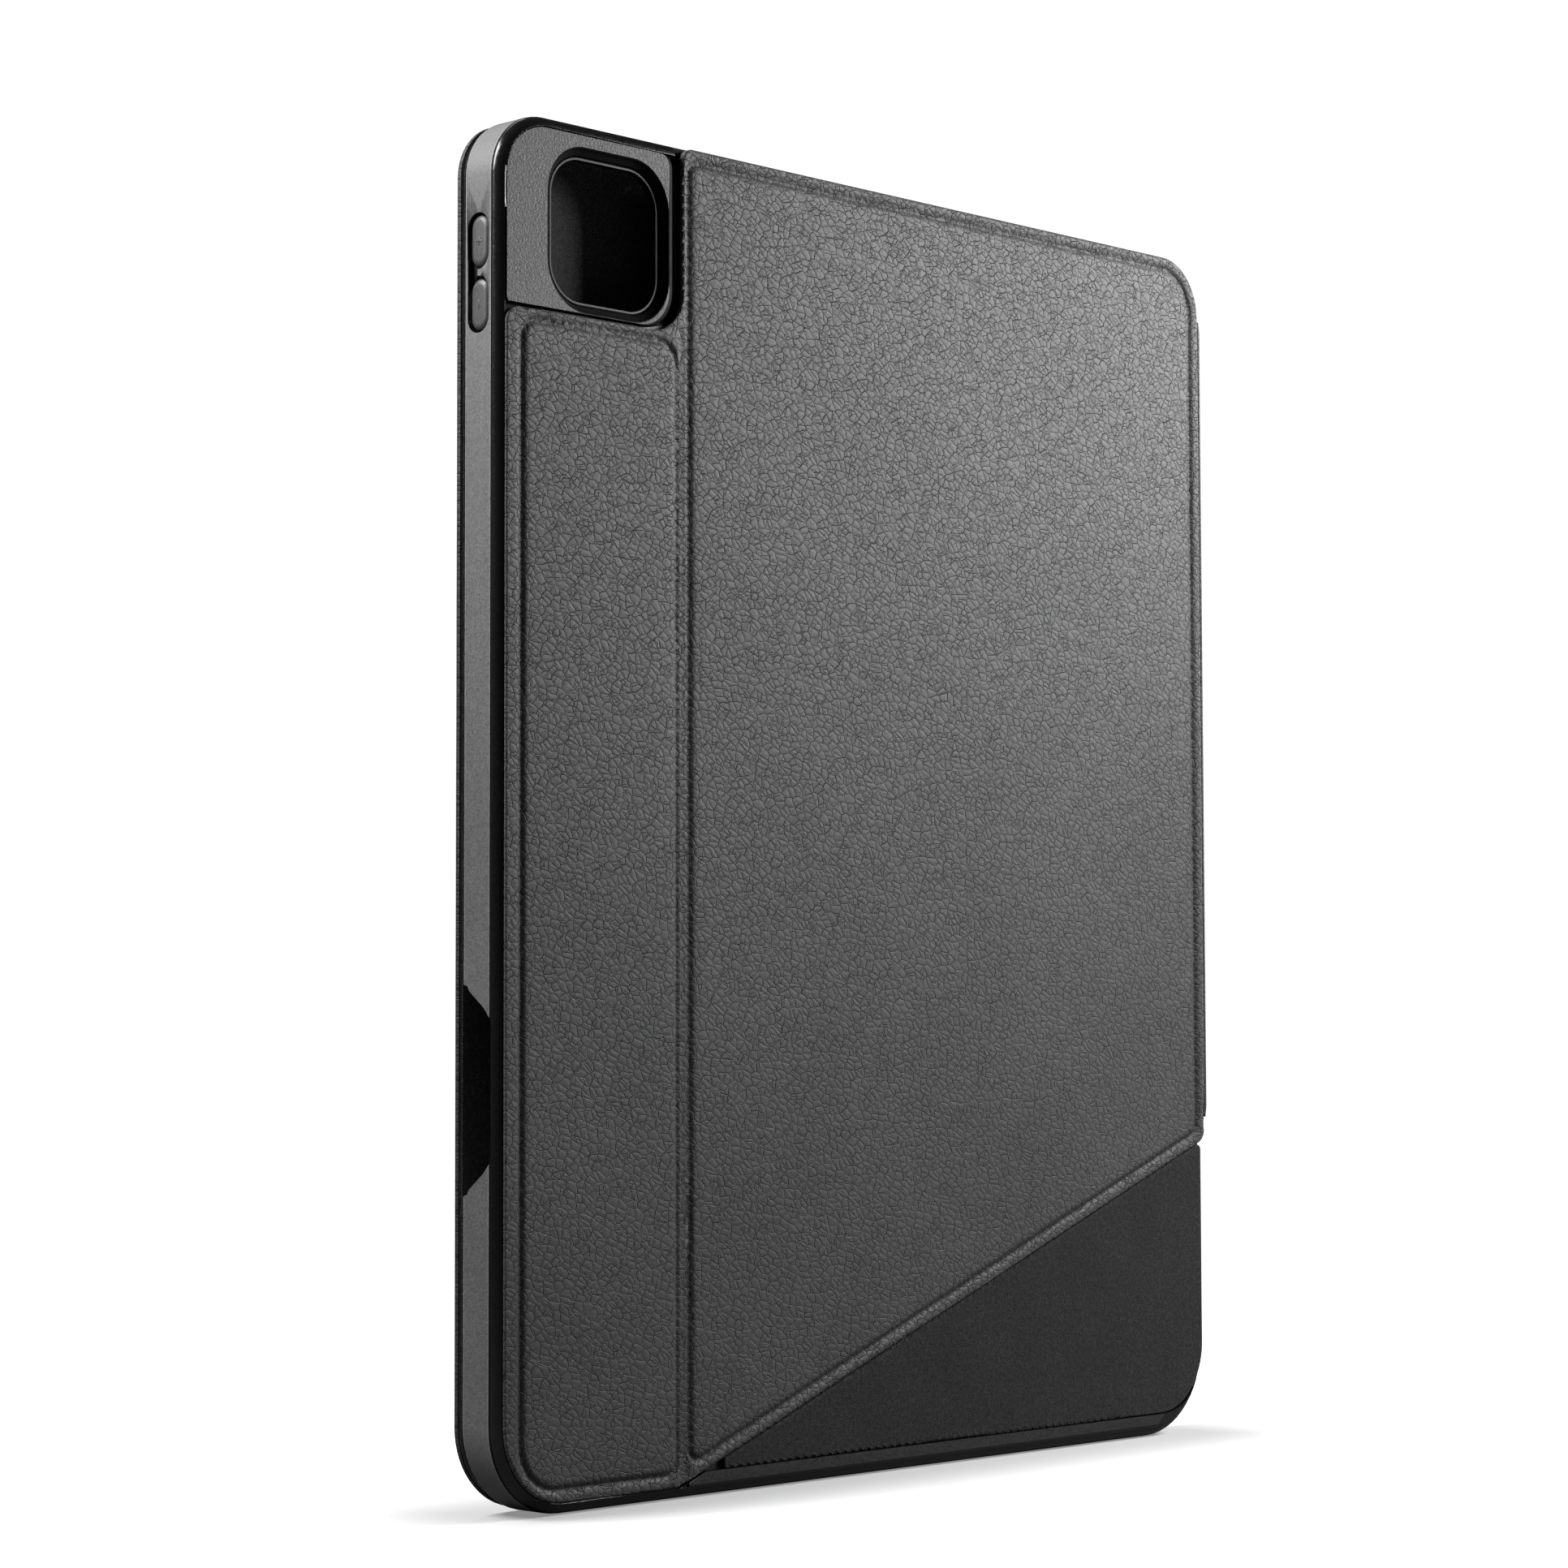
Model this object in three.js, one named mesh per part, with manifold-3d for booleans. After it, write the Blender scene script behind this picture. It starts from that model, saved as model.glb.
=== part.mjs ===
// Folio case for a 12.9 inch class tablet with a stylus bay, a wrap-round front cover and a
// fold-out kickstand flap on the back.
// Millimetres, +Z up. The case stands on its bottom edge: -Y is the leather back, +Y is the front
// cover, -X is the stylus side and +X is the spine side. The origin is at the bottom, in the middle.
import * as THREE from 'three';
import { mergeVertices } from 'three/addons/utils/BufferGeometryUtils.js';
import Module from 'manifold-3d';

const wasm = await Module();
wasm.setup();

// ---------------------------------------------------------------- driving dimensions
const tabletW = 214.9, tabletH = 280.6, tabletT = 6.4;   // the tablet that the bay holds
const stylusD = 8.9, stylusL = 166;                      // the stylus that the side channel holds
const fit = 0.2;                                         // clearance round the tablet
const glue = 0.1;                                        // bond line between two layers
const seam = 0.3;                                        // running gap beside the spine
const coverGap = 1.0;                                    // cover stands clear of the stylus
const endWall = 2.5;                                     // top and bottom walls of the tray
const stylusSide = 12.2;                                 // outer face to bay on the stylus side
const spineWall = 1.75;                                  // tray wall on the spine side
const leatherT = 0.7, boardT = 0.7, liningT = 0.35;      // layers of the padded panels
const plateT = 1.2, trayLiningT = 0.3;                   // moulded back and its lining
const lipT = 0.7, lipIn = 1.5;                           // front lip that keeps the tablet in
const footL = 18.5, footR = 20.5, topR = 13.5;           // outer corner radii seen from the back
const edgeR = 2.6;                                       // rounding of the tray's back edge
const arcSteps = 14;                                     // facets in one rounded corner

// ---------------------------------------------------------------- sizes that follow
const flapT = leatherT + boardT + liningT + 2 * glue + 0.05;
const floorY = flapT + 0.2;                              // tray back under the flap
const seatY = floorY + plateT + glue + trayLiningT;      // where the tablet's back lies
const lipY = seatY + tabletT + fit;
const trayY = lipY + lipT;
const coverY = trayY + coverGap;
const coverT = liningT + boardT + leatherT + 2 * glue - 0.05;
const T = coverY + coverT;
const spineT = 1.7;
const bayW = tabletW + 2 * fit, bayH = tabletH + 2 * fit;
const W = stylusSide + bayW + spineWall + seam + spineT;
const H = bayH + 2 * endWall;
const xL = -W / 2, xR = W / 2;                           // outer faces of the whole case
const bayX0 = xL + stylusSide, bayX1 = bayX0 + bayW;
const bayZ0 = endWall, bayZ1 = endWall + bayH;
const trayX1 = xR - spineT - seam;                       // spine side face of the tray
const bayCx = (bayX0 + bayX1) / 2;
const backY = 0.5;                                       // tray's outermost back surface

const creaseX = xL + 51.7;                               // fold line of the kickstand
const stripX0 = xL + 1.7, fieldX0 = xL + 2.1, stripZ0 = 2.4, stripZ1 = H - 40.7;
const hornR = 9.5;                                       // hollow corner round the camera field
const diagZ0 = 3.0, diagZ1 = 0.2451 * H;                 // slanted lower edge of the flap
const flapX0 = creaseX + 0.2, flapX1 = trayX1 - 0.1, flapZ1 = H - 0.3;
const rimZ = 5.2;                                        // bottom rim below the woven corner
const spineZ0 = diagZ1 + 5.5, spineZ1 = H - topR - 1.0;

const camX = bayX0 + fit + 18.2, camZ = bayZ1 - 19.9;    // centre of the camera cut-out
const camOuter = 34, camInner = 30, camR = 10;
const fieldX1 = creaseX - 2.0, fieldZ0 = stripZ1 + 0.5;  // raised camera field
const fieldFall = 2.0;                                   // width of its soft fall to the valley

const stylusX = bayX0 - stylusD / 2 + 0.15;              // stylus axis
const channelX0 = stylusX - stylusD / 2 - 0.45;
const channelFloor = 2.4;
const channelZ1 = H - 46.0, channelZ0 = channelZ1 - stylusL - 12;
const windowZ = channelZ0 + 23.8, windowHalf = 14.8, windowFloor = 2.7;

const buttonY = seatY + tabletT / 2, buttonW = 5.2, buttonL = 10.6, travel = 0.6;
const volumeUpZ = H - 27.1, volumeDownZ = H - 40.2, pocketDeep = 2.3;
const powerX = bayX0 + 17.5, powerL = 14, powerW = 4.6;

const keeperXZ = [[xR - 22, 0.336 * H], [xR - 22, H - 22], [xR - 60, H - 16], [xR - 22, H / 2 + 40]];
const coverMagnetZ = [40, H / 2, H - 40];

// ---------------------------------------------------------------- geometry helpers
const yAt = (y) => y - T / 2;                            // depth from the back -> model Y
const rect = (x0, x1, z0, z1) => [[x0, z0], [x1, z0], [x1, z1], [x0, z1]];

// Moves every side of an anticlockwise outline inwards by d.
function inset(poly, d) {
  const n = poly.length;
  return poly.map((p, i) => {
    const a = poly[(i + n - 1) % n], b = poly[(i + 1) % n];
    const u = unit(p[0] - a[0], p[1] - a[1]), v = unit(b[0] - p[0], b[1] - p[1]);
    const nu = [-u[1], u[0]], nv = [-v[1], v[0]];
    const k = d / (1 + nu[0] * nv[0] + nu[1] * nv[1]);
    return [p[0] + (nu[0] + nv[0]) * k, p[1] + (nu[1] + nv[1]) * k];
  });
}

function unit(x, z) {
  const l = Math.hypot(x, z);
  return [x / l, z / l];
}

// Rounds the corners of an outline; radii may be one number or one per corner.
function rounded(poly, radii, steps = arcSteps) {
  const out = [], n = poly.length;
  poly.forEach((p, i) => {
    const r = Math.abs(Array.isArray(radii) ? radii[i] : radii);
    if (!r) { out.push(p); return; }
    const a = poly[(i + n - 1) % n], b = poly[(i + 1) % n];
    const u = unit(a[0] - p[0], a[1] - p[1]), v = unit(b[0] - p[0], b[1] - p[1]);
    const half = Math.acos(u[0] * v[0] + u[1] * v[1]) / 2;
    const t = r / Math.tan(half), h = r / Math.sin(half), m = unit(u[0] + v[0], u[1] + v[1]);
    const c = [p[0] + m[0] * h, p[1] + m[1] * h];
    const s = Math.atan2(p[1] + u[1] * t - c[1], p[0] + u[0] * t - c[0]);
    const e = Math.atan2(p[1] + v[1] * t - c[1], p[0] + v[0] * t - c[0]);
    let sweep = e - s;
    while (sweep > Math.PI) sweep -= 2 * Math.PI;
    while (sweep < -Math.PI) sweep += 2 * Math.PI;
    for (let k = 0; k <= steps; k++) {
      const w = s + (sweep * k) / steps;
      out.push([c[0] + r * Math.cos(w), c[1] + r * Math.sin(w)]);
    }
  });
  return out;
}

// The outline in anticlockwise order.
function ccw(pts) {
  const area = pts.reduce((s, p, i) => {
    const q = pts[(i + 1) % pts.length];
    return s + p[0] * q[1] - q[0] * p[1];
  }, 0);
  return area < 0 ? [...pts].reverse() : pts;
}

// Skins a stack of outlines [{y, pts}] (same point count) that run from the back to the front.
function loft(rings) {
  const n = rings[0].pts.length, pos = [], idx = [];
  for (const r of rings) for (const [x, z] of r.pts) pos.push(x, yAt(r.y), z);
  for (let k = 0; k + 1 < rings.length; k++) {
    for (let i = 0; i < n; i++) {
      const j = (i + 1) % n, a = k * n + i, b = k * n + j, c = a + n, d = b + n;
      idx.push(a, b, d, a, d, c);
    }
  }
  const cap = (r) => THREE.ShapeUtils.triangulateShape(r.pts.map((p) => new THREE.Vector2(...p)), []);
  for (const [a, b, c] of cap(rings[0])) idx.push(a, c, b);
  const o = (rings.length - 1) * n;
  for (const [a, b, c] of cap(rings[rings.length - 1])) idx.push(o + a, o + b, o + c);
  return oriented(pos, idx);
}

function oriented(pos, idx) {
  let v = 0;
  const P = (i) => new THREE.Vector3(pos[3 * i], pos[3 * i + 1], pos[3 * i + 2]);
  for (let i = 0; i < idx.length; i += 3) v += P(idx[i]).dot(P(idx[i + 1]).cross(P(idx[i + 2])));
  if (v < 0) for (let i = 0; i < idx.length; i += 3) [idx[i + 1], idx[i + 2]] = [idx[i + 2], idx[i + 1]];
  const g = new THREE.BufferGeometry();
  g.setAttribute('position', new THREE.Float32BufferAttribute(pos, 3));
  g.setIndex(idx);
  return g;
}

// Straight slab of an X-Z outline between two depths.
const slab = (pts, y0, y1) => loft([{ y: y0, pts }, { y: y1, pts }]);

// Slab whose back edge (and, if asked, front edge) is softened.
function panel(poly, radii, y0, y1, soft, softFront = 0, turns = [0, 0.3, 0.65, 1]) {
  const ring = (d, y) => ({ y, pts: rounded(d ? inset(poly, d) : poly, shrink(radii, d)) });
  const rings = [];
  for (const t of turns) {
    const a = (t * Math.PI) / 2;
    rings.push(ring(soft * (1 - Math.sin(a)), y0 + soft * (1 - Math.cos(a))));
  }
  if (softFront) {
    for (const t of turns) {
      const a = (t * Math.PI) / 2;
      rings.push(ring(softFront * (1 - Math.cos(a)), y1 - softFront * (1 - Math.sin(a))));
    }
  } else rings.push(ring(0, y1));
  return loft(rings);
}

// Radii for an outline moved in by d; a negative radius marks a hollow corner, which grows instead.
const shrink = (radii, d) => (Array.isArray(radii) ? radii : [radii, radii, radii, radii])
  .map((r) => (r < 0 ? r - d : r ? Math.max(r - d, 0.05) : 0));

// Prism of a Y-Z outline (depths from the back) between two X positions.
function sidePrism(outline, x0, x1) {
  const pts = ccw(outline);
  const n = pts.length, pos = [], idx = [];
  for (const x of [x0, x1]) for (const [y, z] of pts) pos.push(x, yAt(y), z);
  for (let i = 0; i < n; i++) {
    const j = (i + 1) % n;
    idx.push(i, j, n + j, i, n + j, n + i);
  }
  const tri = THREE.ShapeUtils.triangulateShape(pts.map((p) => new THREE.Vector2(...p)), []);
  for (const [a, b, c] of tri) { idx.push(a, c, b); idx.push(n + a, n + b, n + c); }
  return oriented(pos, idx);
}

// Prism of an X-Y outline (depths from the back) between two heights.
function upPrism(outline, z0, z1) {
  const pts = ccw(outline);
  const n = pts.length, pos = [], idx = [];
  for (const z of [z0, z1]) for (const [x, y] of pts) pos.push(x, yAt(y), z);
  for (let i = 0; i < n; i++) {
    const j = (i + 1) % n;
    idx.push(i, j, n + j, i, n + j, n + i);
  }
  const tri = THREE.ShapeUtils.triangulateShape(pts.map((p) => new THREE.Vector2(...p)), []);
  for (const [a, b, c] of tri) { idx.push(a, c, b); idx.push(n + a, n + b, n + c); }
  return oriented(pos, idx);
}

function solid(geometry) {
  let g = geometry.clone();
  g.deleteAttribute('normal');
  g.deleteAttribute('uv');
  g = mergeVertices(g, 1e-4);
  return new wasm.Manifold(new wasm.Mesh({
    numProp: 3,
    vertProperties: new Float32Array(g.attributes.position.array),
    triVerts: new Uint32Array(g.index.array),
  }));
}

function geometryOf(m) {
  const mesh = m.getMesh();
  const g = new THREE.BufferGeometry();
  g.setAttribute('position', new THREE.BufferAttribute(new Float32Array(mesh.vertProperties), 3));
  g.setIndex(new THREE.BufferAttribute(new Uint32Array(mesh.triVerts), 1));
  return g;
}

// base with a list of pieces added and a list of pieces cut away.
function carve(base, cuts, adds = []) {
  let m = solid(base);
  for (const a of adds) m = m.add(solid(a));
  for (const c of cuts) m = m.subtract(solid(c));
  return geometryOf(m);
}

const pill = (c0, c1, w, l, steps = 6) =>
  rounded([[c0 - w / 2, c1 - l / 2], [c0 + w / 2, c1 - l / 2], [c0 + w / 2, c1 + l / 2],
    [c0 - w / 2, c1 + l / 2]], Math.min(w, l) / 2 - 0.01, steps);

// ---------------------------------------------------------------- outlines
const flapPoly = [[flapX0, diagZ0], [flapX1, diagZ1], [flapX1, flapZ1], [flapX0, flapZ1]];
const flapRadii = [1.2, 3.5, topR - 0.5, 3.0];
const stripPoly = [[stripX0, stripZ0], [creaseX - 0.1, stripZ0], [creaseX - 0.1, stripZ1 + hornR + 1.5],
  [creaseX - 1.0, stripZ1 + hornR + 1.5], [creaseX - 1.0, stripZ1], [stripX0, stripZ1]];
const stripRadii = [footL - 2.3, 0, 0, 0, -hornR, 3.5];
const slope = (diagZ1 - diagZ0) / (flapX1 - flapX0);
const diagAt = (x) => diagZ0 + slope * (x - flapX0);
const cornerX0 = flapX0 + (rimZ + 2.6 - diagZ0) / slope;
const cornerPoly = [[cornerX0, rimZ], [trayX1 - 0.3, rimZ], [trayX1 - 0.3, diagAt(trayX1 - 0.3) - 0.6],
  [cornerX0, diagAt(cornerX0) - 0.6]];
const cornerRadii = [0, footR - 4.5, 0, 0];
const coverPoly = rect(xL + 0.1, trayX1, 0.6, H - 0.6);
const corners = (d) => [footL - d, footR - d, topR - d, topR - d];
const coverRadii = [footL - 1, 9, 9, topR - 1];

// ---------------------------------------------------------------- tray (fixed body)
const fine = [0, 0.14, 0.29, 0.43, 0.57, 0.71, 0.86, 1];

function bumperFrame() {
  const outline = rect(xL, trayX1, 0, H);
  const base = panel(outline, corners(0), backY, trayY, edgeR, 0.35, fine);
  const cuts = [
    slab(rounded(rect(bayX0, bayX1, bayZ0, bayZ1), corners(2.5)), floorY - glue, lipY),
    slab(rounded(rect(bayX0, bayX1, rimZ - 0.2, bayZ1), [footL - 4, footR - 4.5, topR - 2.5, topR - 2.5]),
      -1, floorY),
    slab(rounded(rect(bayX0 + lipIn, bayX1 - lipIn, bayZ0 + lipIn, bayZ1 - lipIn), corners(3)),
      lipY - 1, trayY + 1),
    // seat of the strip, of the camera field and of the flap
    slab(rounded(rect(stripX0 - 0.1, creaseX + 2, stripZ0 - 0.1, stripZ1 + 20), [footL - 2.2, 0, 0, 0]),
      -1, leatherT + glue),
    slab(rounded(rect(fieldX0 - 0.1, creaseX + 2, fieldZ0 - 1.2, bayZ1 + 0.1), [0, 0, 0, topR - 2.2]),
      -1, backY + 1.2),
    slab([[creaseX - 1.9, diagAt(creaseX - 1.9) - 0.5], [xR + 5, diagAt(xR + 5) - 0.5], [xR + 5, H + 5],
      [creaseX - 1.9, H + 5]], -1, floorY),
    slab(rounded([[cornerX0 - 0.2, rimZ - 0.2], [trayX1 - 0.1, rimZ - 0.2],
      [trayX1 - 0.1, diagAt(trayX1) + 4], [cornerX0 - 0.2, diagAt(cornerX0) + 4]],
    [0, footR - 4.5, 0, 0]), -1, floorY),
    slab([[trayX1 - 8, rimZ + footR - 5], [xR, rimZ + footR - 5], [xR, H], [trayX1 - 8, H]], -1, floorY),
    ...stylusCuts(), ...buttonCuts(), ...portCuts(),
  ];
  return carve(base, cuts);
}

function stylusCuts() {
  const z0 = windowZ - windowHalf, z1 = windowZ + windowHalf;
  const notch = rounded([[trayY + 2, z0 - 7.2], [lipY - 0.6, z0 - 6.2], [lipY - 1.2, z0 - 5.2],
    [windowFloor + 2.1, z0 - 1.8], [windowFloor, z0 + 0.6], [windowFloor, z1 - 0.6],
    [windowFloor + 2.1, z1 + 1.8], [lipY - 1.2, z1 + 5.2], [lipY - 0.6, z1 + 6.2], [trayY + 2, z1 + 7.2]],
  [0, 0, 0.8, 2.2, 1.2, 1.2, 2.2, 0.8, 0, 0], 4);
  return [
    slab(rounded(rect(channelX0, bayX0 + 3, channelZ0, channelZ1), [4, 0, 0, 4], 5), channelFloor, trayY + 1),
    sidePrism(notch, xL - 1, channelX0 + 0.5),
  ];
}

function buttonCuts() {
  const out = [];
  for (const z of [volumeUpZ, volumeDownZ]) {
    out.push(sidePrism(pill(buttonY, z, buttonW + 1.2, buttonL + 1.2), xL - 1, xL + pocketDeep));
    out.push(sidePrism(pill(buttonY, z, 3.4, buttonL - 2.2), xL + 1, bayX0 + 1));
  }
  const neck = [[buttonY + 0.2, volumeDownZ], [buttonY + buttonW / 2 + 0.3, volumeDownZ],
    [buttonY + buttonW / 2 + 0.3, volumeUpZ], [buttonY + 0.2, volumeUpZ]];
  out.push(sidePrism(neck, xL - 1, xL + 1.2));
  out.push(upPrism(pill(powerX, buttonY, powerL + 0.6, powerW + 0.6), bayZ1 - 1, H + 1));
  out.push(upPrism(pill(powerX, buttonY, powerL + 1.6, powerW + 1.4), H - 0.7, H + 1));
  return out;
}

function portCuts() {
  const out = [upPrism(pill(bayCx, buttonY, 18, 5.6), -1, bayZ0 + 1)];
  for (const s of [-1, 1]) {
    const x = bayCx + s * 62;
    out.push(upPrism(pill(x, buttonY, 30, 3.0), -1, bayZ0 + 1));
    out.push(upPrism(pill(x + (s < 0 ? 16 : 0), buttonY, 30, 3.0), bayZ1 - 1, H + 1));
  }
  out.push(upPrism(pill(bayCx, buttonY, 2.6, 2.6), bayZ1 - 1, H + 1));
  return out;
}

function backPlate() {
  const g = 0.1;
  const inner = rounded(rect(bayX0 + g, bayX1 - g, bayZ0 + g, bayZ1 - g), corners(2.6));
  const base = slab(inner, floorY, floorY + plateT);
  const stripPad = slab(rounded(rect(bayX0 + g, creaseX - 2.2, rimZ, stripZ1 + 2), [footL - 4.1, 0, 0, 0]),
    leatherT + boardT + 2 * glue, floorY + 0.5);
  const fieldPoly = rect(bayX0 + g, fieldX1, fieldZ0, bayZ1 - g);
  const radii = [0.6, hornR - 1, 2.6, topR - 2.5];
  const fall = fine.map((t) => {
    const k = 1 - Math.sin((t * Math.PI) / 2), drop = 1 - Math.cos((t * Math.PI) / 2);
    const pts = rect(fieldX0, fieldX1 - fieldFall * k, fieldZ0 + 0.3 * k, bayZ1 - 0.1);
    return { y: backY + 1.1 * drop, pts: rounded(pts, radii) };
  });
  const wing = loft(fall);
  const wallUp = slab(rounded(fieldPoly, [0.6, hornR - 1, 2.6, topR - 2.6]), backY + 0.9, floorY + 0.5);
  const cuts = [...cameraCuts(), ...keeperXZ.map(([x, z]) => keeperPocket(x, z))];
  return carve(base, cuts, [stripPad, wing, wallUp]);
}

function cameraCuts() {
  const sq = (half, r) => rounded(rect(camX - half, camX + half, camZ - half, camZ + half), r);
  const mouth = camOuter / 2, throat = camInner / 2;
  return [
    loft([{ y: -1, pts: sq(mouth + 1.5, camR + 1.5) }, { y: backY, pts: sq(mouth + 0.45, camR + 0.45) },
      { y: backY + 0.12, pts: sq(mouth + 0.2, camR + 0.2) },
      { y: backY + 0.32, pts: sq(mouth + 0.05, camR) },
      { y: backY + 0.6, pts: sq(mouth, camR) },
      { y: floorY - 0.3, pts: sq(throat + 0.9, camR - 1.1) },
      { y: seatY, pts: sq(throat + 0.9, camR - 1.1) }]),
  ];
}

function cameraRing() {
  const sq = (half, r) => rounded(rect(camX - half, camX + half, camZ - half, camZ + half), r);
  const t = camInner / 2;
  const outer = loft([{ y: floorY - 0.1, pts: sq(t + 0.4, camR - 1.6) },
    { y: floorY + 0.2, pts: sq(t + 0.8, camR - 1.2) }, { y: seatY - 0.1, pts: sq(t + 0.8, camR - 1.2) }]);
  return carve(outer, [slab(sq(t, camR - 2), -1, seatY + 1)]);
}

const keeperPocket = (x, z) =>
  slab(rect(x - 7.2, x + 7.2, z - 4.2, z + 4.2), floorY + 0.5, floorY + plateT + 1);

function trayLining() {
  const base = slab(rounded(rect(bayX0 + 0.4, bayX1 - 0.4, bayZ0 + 0.4, bayZ1 - 0.4), corners(3)),
    floorY + plateT + glue, seatY);
  const half = camInner / 2 + 1.1;
  const hole = rounded(rect(camX - half, camX + half, camZ - half, camZ + half), camR - 0.9);
  return carve(base, [slab(hole, 0, seatY + 1)]);
}

function stripLeather() {
  return panel(stripPoly, stripRadii, 0, leatherT, 0.25);
}

function stripBoard() {
  const poly = rect(bayX0 + 1.2, creaseX - 2.6, rimZ + 0.4, stripZ1 - 2.0);
  return slab(rounded(poly, [footL - 5, 1, 5, 1], 5), leatherT + glue, leatherT + glue + boardT);
}

function cornerFabric() {
  return panel(cornerPoly, cornerRadii, 1.0, 1.5, 0.15);
}

function cornerBoard() {
  const poly = inset(cornerPoly, 1.0);
  return slab(rounded(poly, [0, footR - 5.5, 0, 0]), 1.6, floorY - 0.1);
}

// ---------------------------------------------------------------- buttons
function volumeButton(z) {
  const cap0 = xL + 0.2, cap1 = xL + 1.45, out = pill(buttonY, z, buttonW, buttonL);
  const top = pill(buttonY, z, buttonW - 0.9, buttonL - 0.9);
  const cap = sideLoft([{ x: cap0, pts: top }, { x: cap0 + 0.45, pts: out }, { x: cap1, pts: out }]);
  const stem = sidePrism(pill(buttonY, z, 2.8, buttonL - 3.0), cap1 - 0.3, bayX0 - 0.4);
  return carve(cap, [], [stem]);
}

function sideLoft(rings) {
  const n = rings[0].pts.length, pos = [], idx = [];
  for (const r of rings) for (const [y, z] of r.pts) pos.push(r.x, yAt(y), z);
  for (let k = 0; k + 1 < rings.length; k++) {
    for (let i = 0; i < n; i++) {
      const j = (i + 1) % n, a = k * n + i, b = k * n + j;
      idx.push(a, b, b + n, a, b + n, a + n);
    }
  }
  const tri = (r) => THREE.ShapeUtils.triangulateShape(r.pts.map((p) => new THREE.Vector2(...p)), []);
  for (const [a, b, c] of tri(rings[0])) idx.push(a, c, b);
  const o = (rings.length - 1) * n;
  for (const [a, b, c] of tri(rings[rings.length - 1])) idx.push(o + a, o + b, o + c);
  return oriented(pos, idx);
}

function powerButton() {
  const wide = upPrism(pill(powerX, buttonY, powerL, powerW), bayZ1 + 0.5, H - 0.55);
  const crown = upPrism(pill(powerX, buttonY, powerL - 0.8, powerW - 0.8), H - 0.7, H - 0.2);
  return carve(wide, [], [crown]);
}

// ---------------------------------------------------------------- kickstand flap
function flapLeather() {
  const shell = panel(flapPoly, flapRadii, 0, leatherT + glue + boardT + 0.05, 0.3);
  const room = rounded(inset(flapPoly, 1.3), shrink(flapRadii, 1.3));
  return carve(shell, [slab(room, leatherT, flapT)]);
}

const flapMagnet = ([x, z], grow = 0) => rect(x - 6 - grow, x + 6 + grow, z - 3 - grow, z + 3 + grow);

function flapBoard() {
  const pts = rounded(inset(flapPoly, 1.5), shrink(flapRadii, 1.5));
  const y0 = leatherT + glue, y1 = y0 + boardT - 0.05;
  return carve(slab(pts, y0, y1), keeperXZ.map((p) => slab(flapMagnet(p, 0.3), 0, flapT)));
}

function flapLining() {
  const pts = rounded(inset(flapPoly, 0.6), shrink(flapRadii, 0.6));
  const y0 = leatherT + 2 * glue + boardT;
  return slab(pts, y0 + 0.05, y0 + 0.05 + liningT);
}

const flapMagnetBlock = (p) => slab(flapMagnet(p), leatherT + glue, leatherT + glue + boardT - 0.1);

// ---------------------------------------------------------------- spine
function spineLayer(x0, x1, y0, y1, trim, r) {
  const z0 = spineZ0 + trim, z1 = spineZ1 - trim;
  const poly = [[x0, y0], [x1, y0], [x1, y1], [x0, y1]];
  return upPrism(rounded(poly, [0, r, r, 0], 6), z0, z1);
}

function spineLeather() {
  const y0 = 0.15, y1 = T - 0.15;
  const shell = spineLayer(xR - spineT, xR, y0, y1, 0, 1.4);
  const room = upPrism([[xR - spineT - 1, y0 + 1.7], [xR - leatherT, y0 + 1.7], [xR - leatherT, y1 - 1.7],
    [xR - spineT - 1, y1 - 1.7]], spineZ0 + 1.2, spineZ1 - 1.2);
  return carve(shell, [room]);
}

const spineBoard = () => spineLayer(xR - leatherT - glue - 0.4, xR - leatherT - glue, 2.1, T - 2.1, 1.5, 0);
const spineLining = () =>
  spineLayer(xR - spineT + 0.05, xR - leatherT - 2 * glue - 0.4, 2.0, T - 2.0, 1.4, 0);

// ---------------------------------------------------------------- front cover
const coverLeather = () => panel(coverPoly, coverRadii, T - leatherT, T, 0.1, 0.3);

function coverMagnetPoly(z, grow = 0) {
  return rect(xL + 5 - grow, xL + 9 + grow, z - 9 - grow, z + 9 + grow);
}

const sleepMagnetPoly = (grow = 0) => rect(xR - 18 - grow, xR - 13 + grow, 60 - grow, 68 + grow);

function coverBoard() {
  const pts = rounded(inset(coverPoly, 0.35), shrink(coverRadii, 0.35));
  const y0 = coverY + liningT + glue, y1 = T - leatherT - glue;
  const cuts = coverMagnetZ.map((z) => slab(coverMagnetPoly(z, 0.3), 0, T + 1));
  cuts.push(slab(sleepMagnetPoly(0.3), 0, T + 1));
  return carve(slab(pts, y0, y1), cuts);
}

function coverLining() {
  const pts = rounded(inset(coverPoly, 0.7), shrink(coverRadii, 0.7));
  return slab(pts, coverY, coverY + liningT);
}

const coverBlock = (pts) => slab(pts, coverY + liningT + 0.15, T - leatherT - 0.15);

// ---------------------------------------------------------------- assembly
const group = new THREE.Group();

function put(name, geometry, color, roughness, metalness = 0) {
  const mesh = new THREE.Mesh(geometry, new THREE.MeshStandardMaterial({ color, roughness, metalness }));
  mesh.name = name;
  group.add(mesh);
}

const leather = 0x4a4a4b, suede = 0x2c2c2d, plastic = 0x3b3b3c, board = 0x77716a, steel = 0xb9bcc0;

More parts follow.
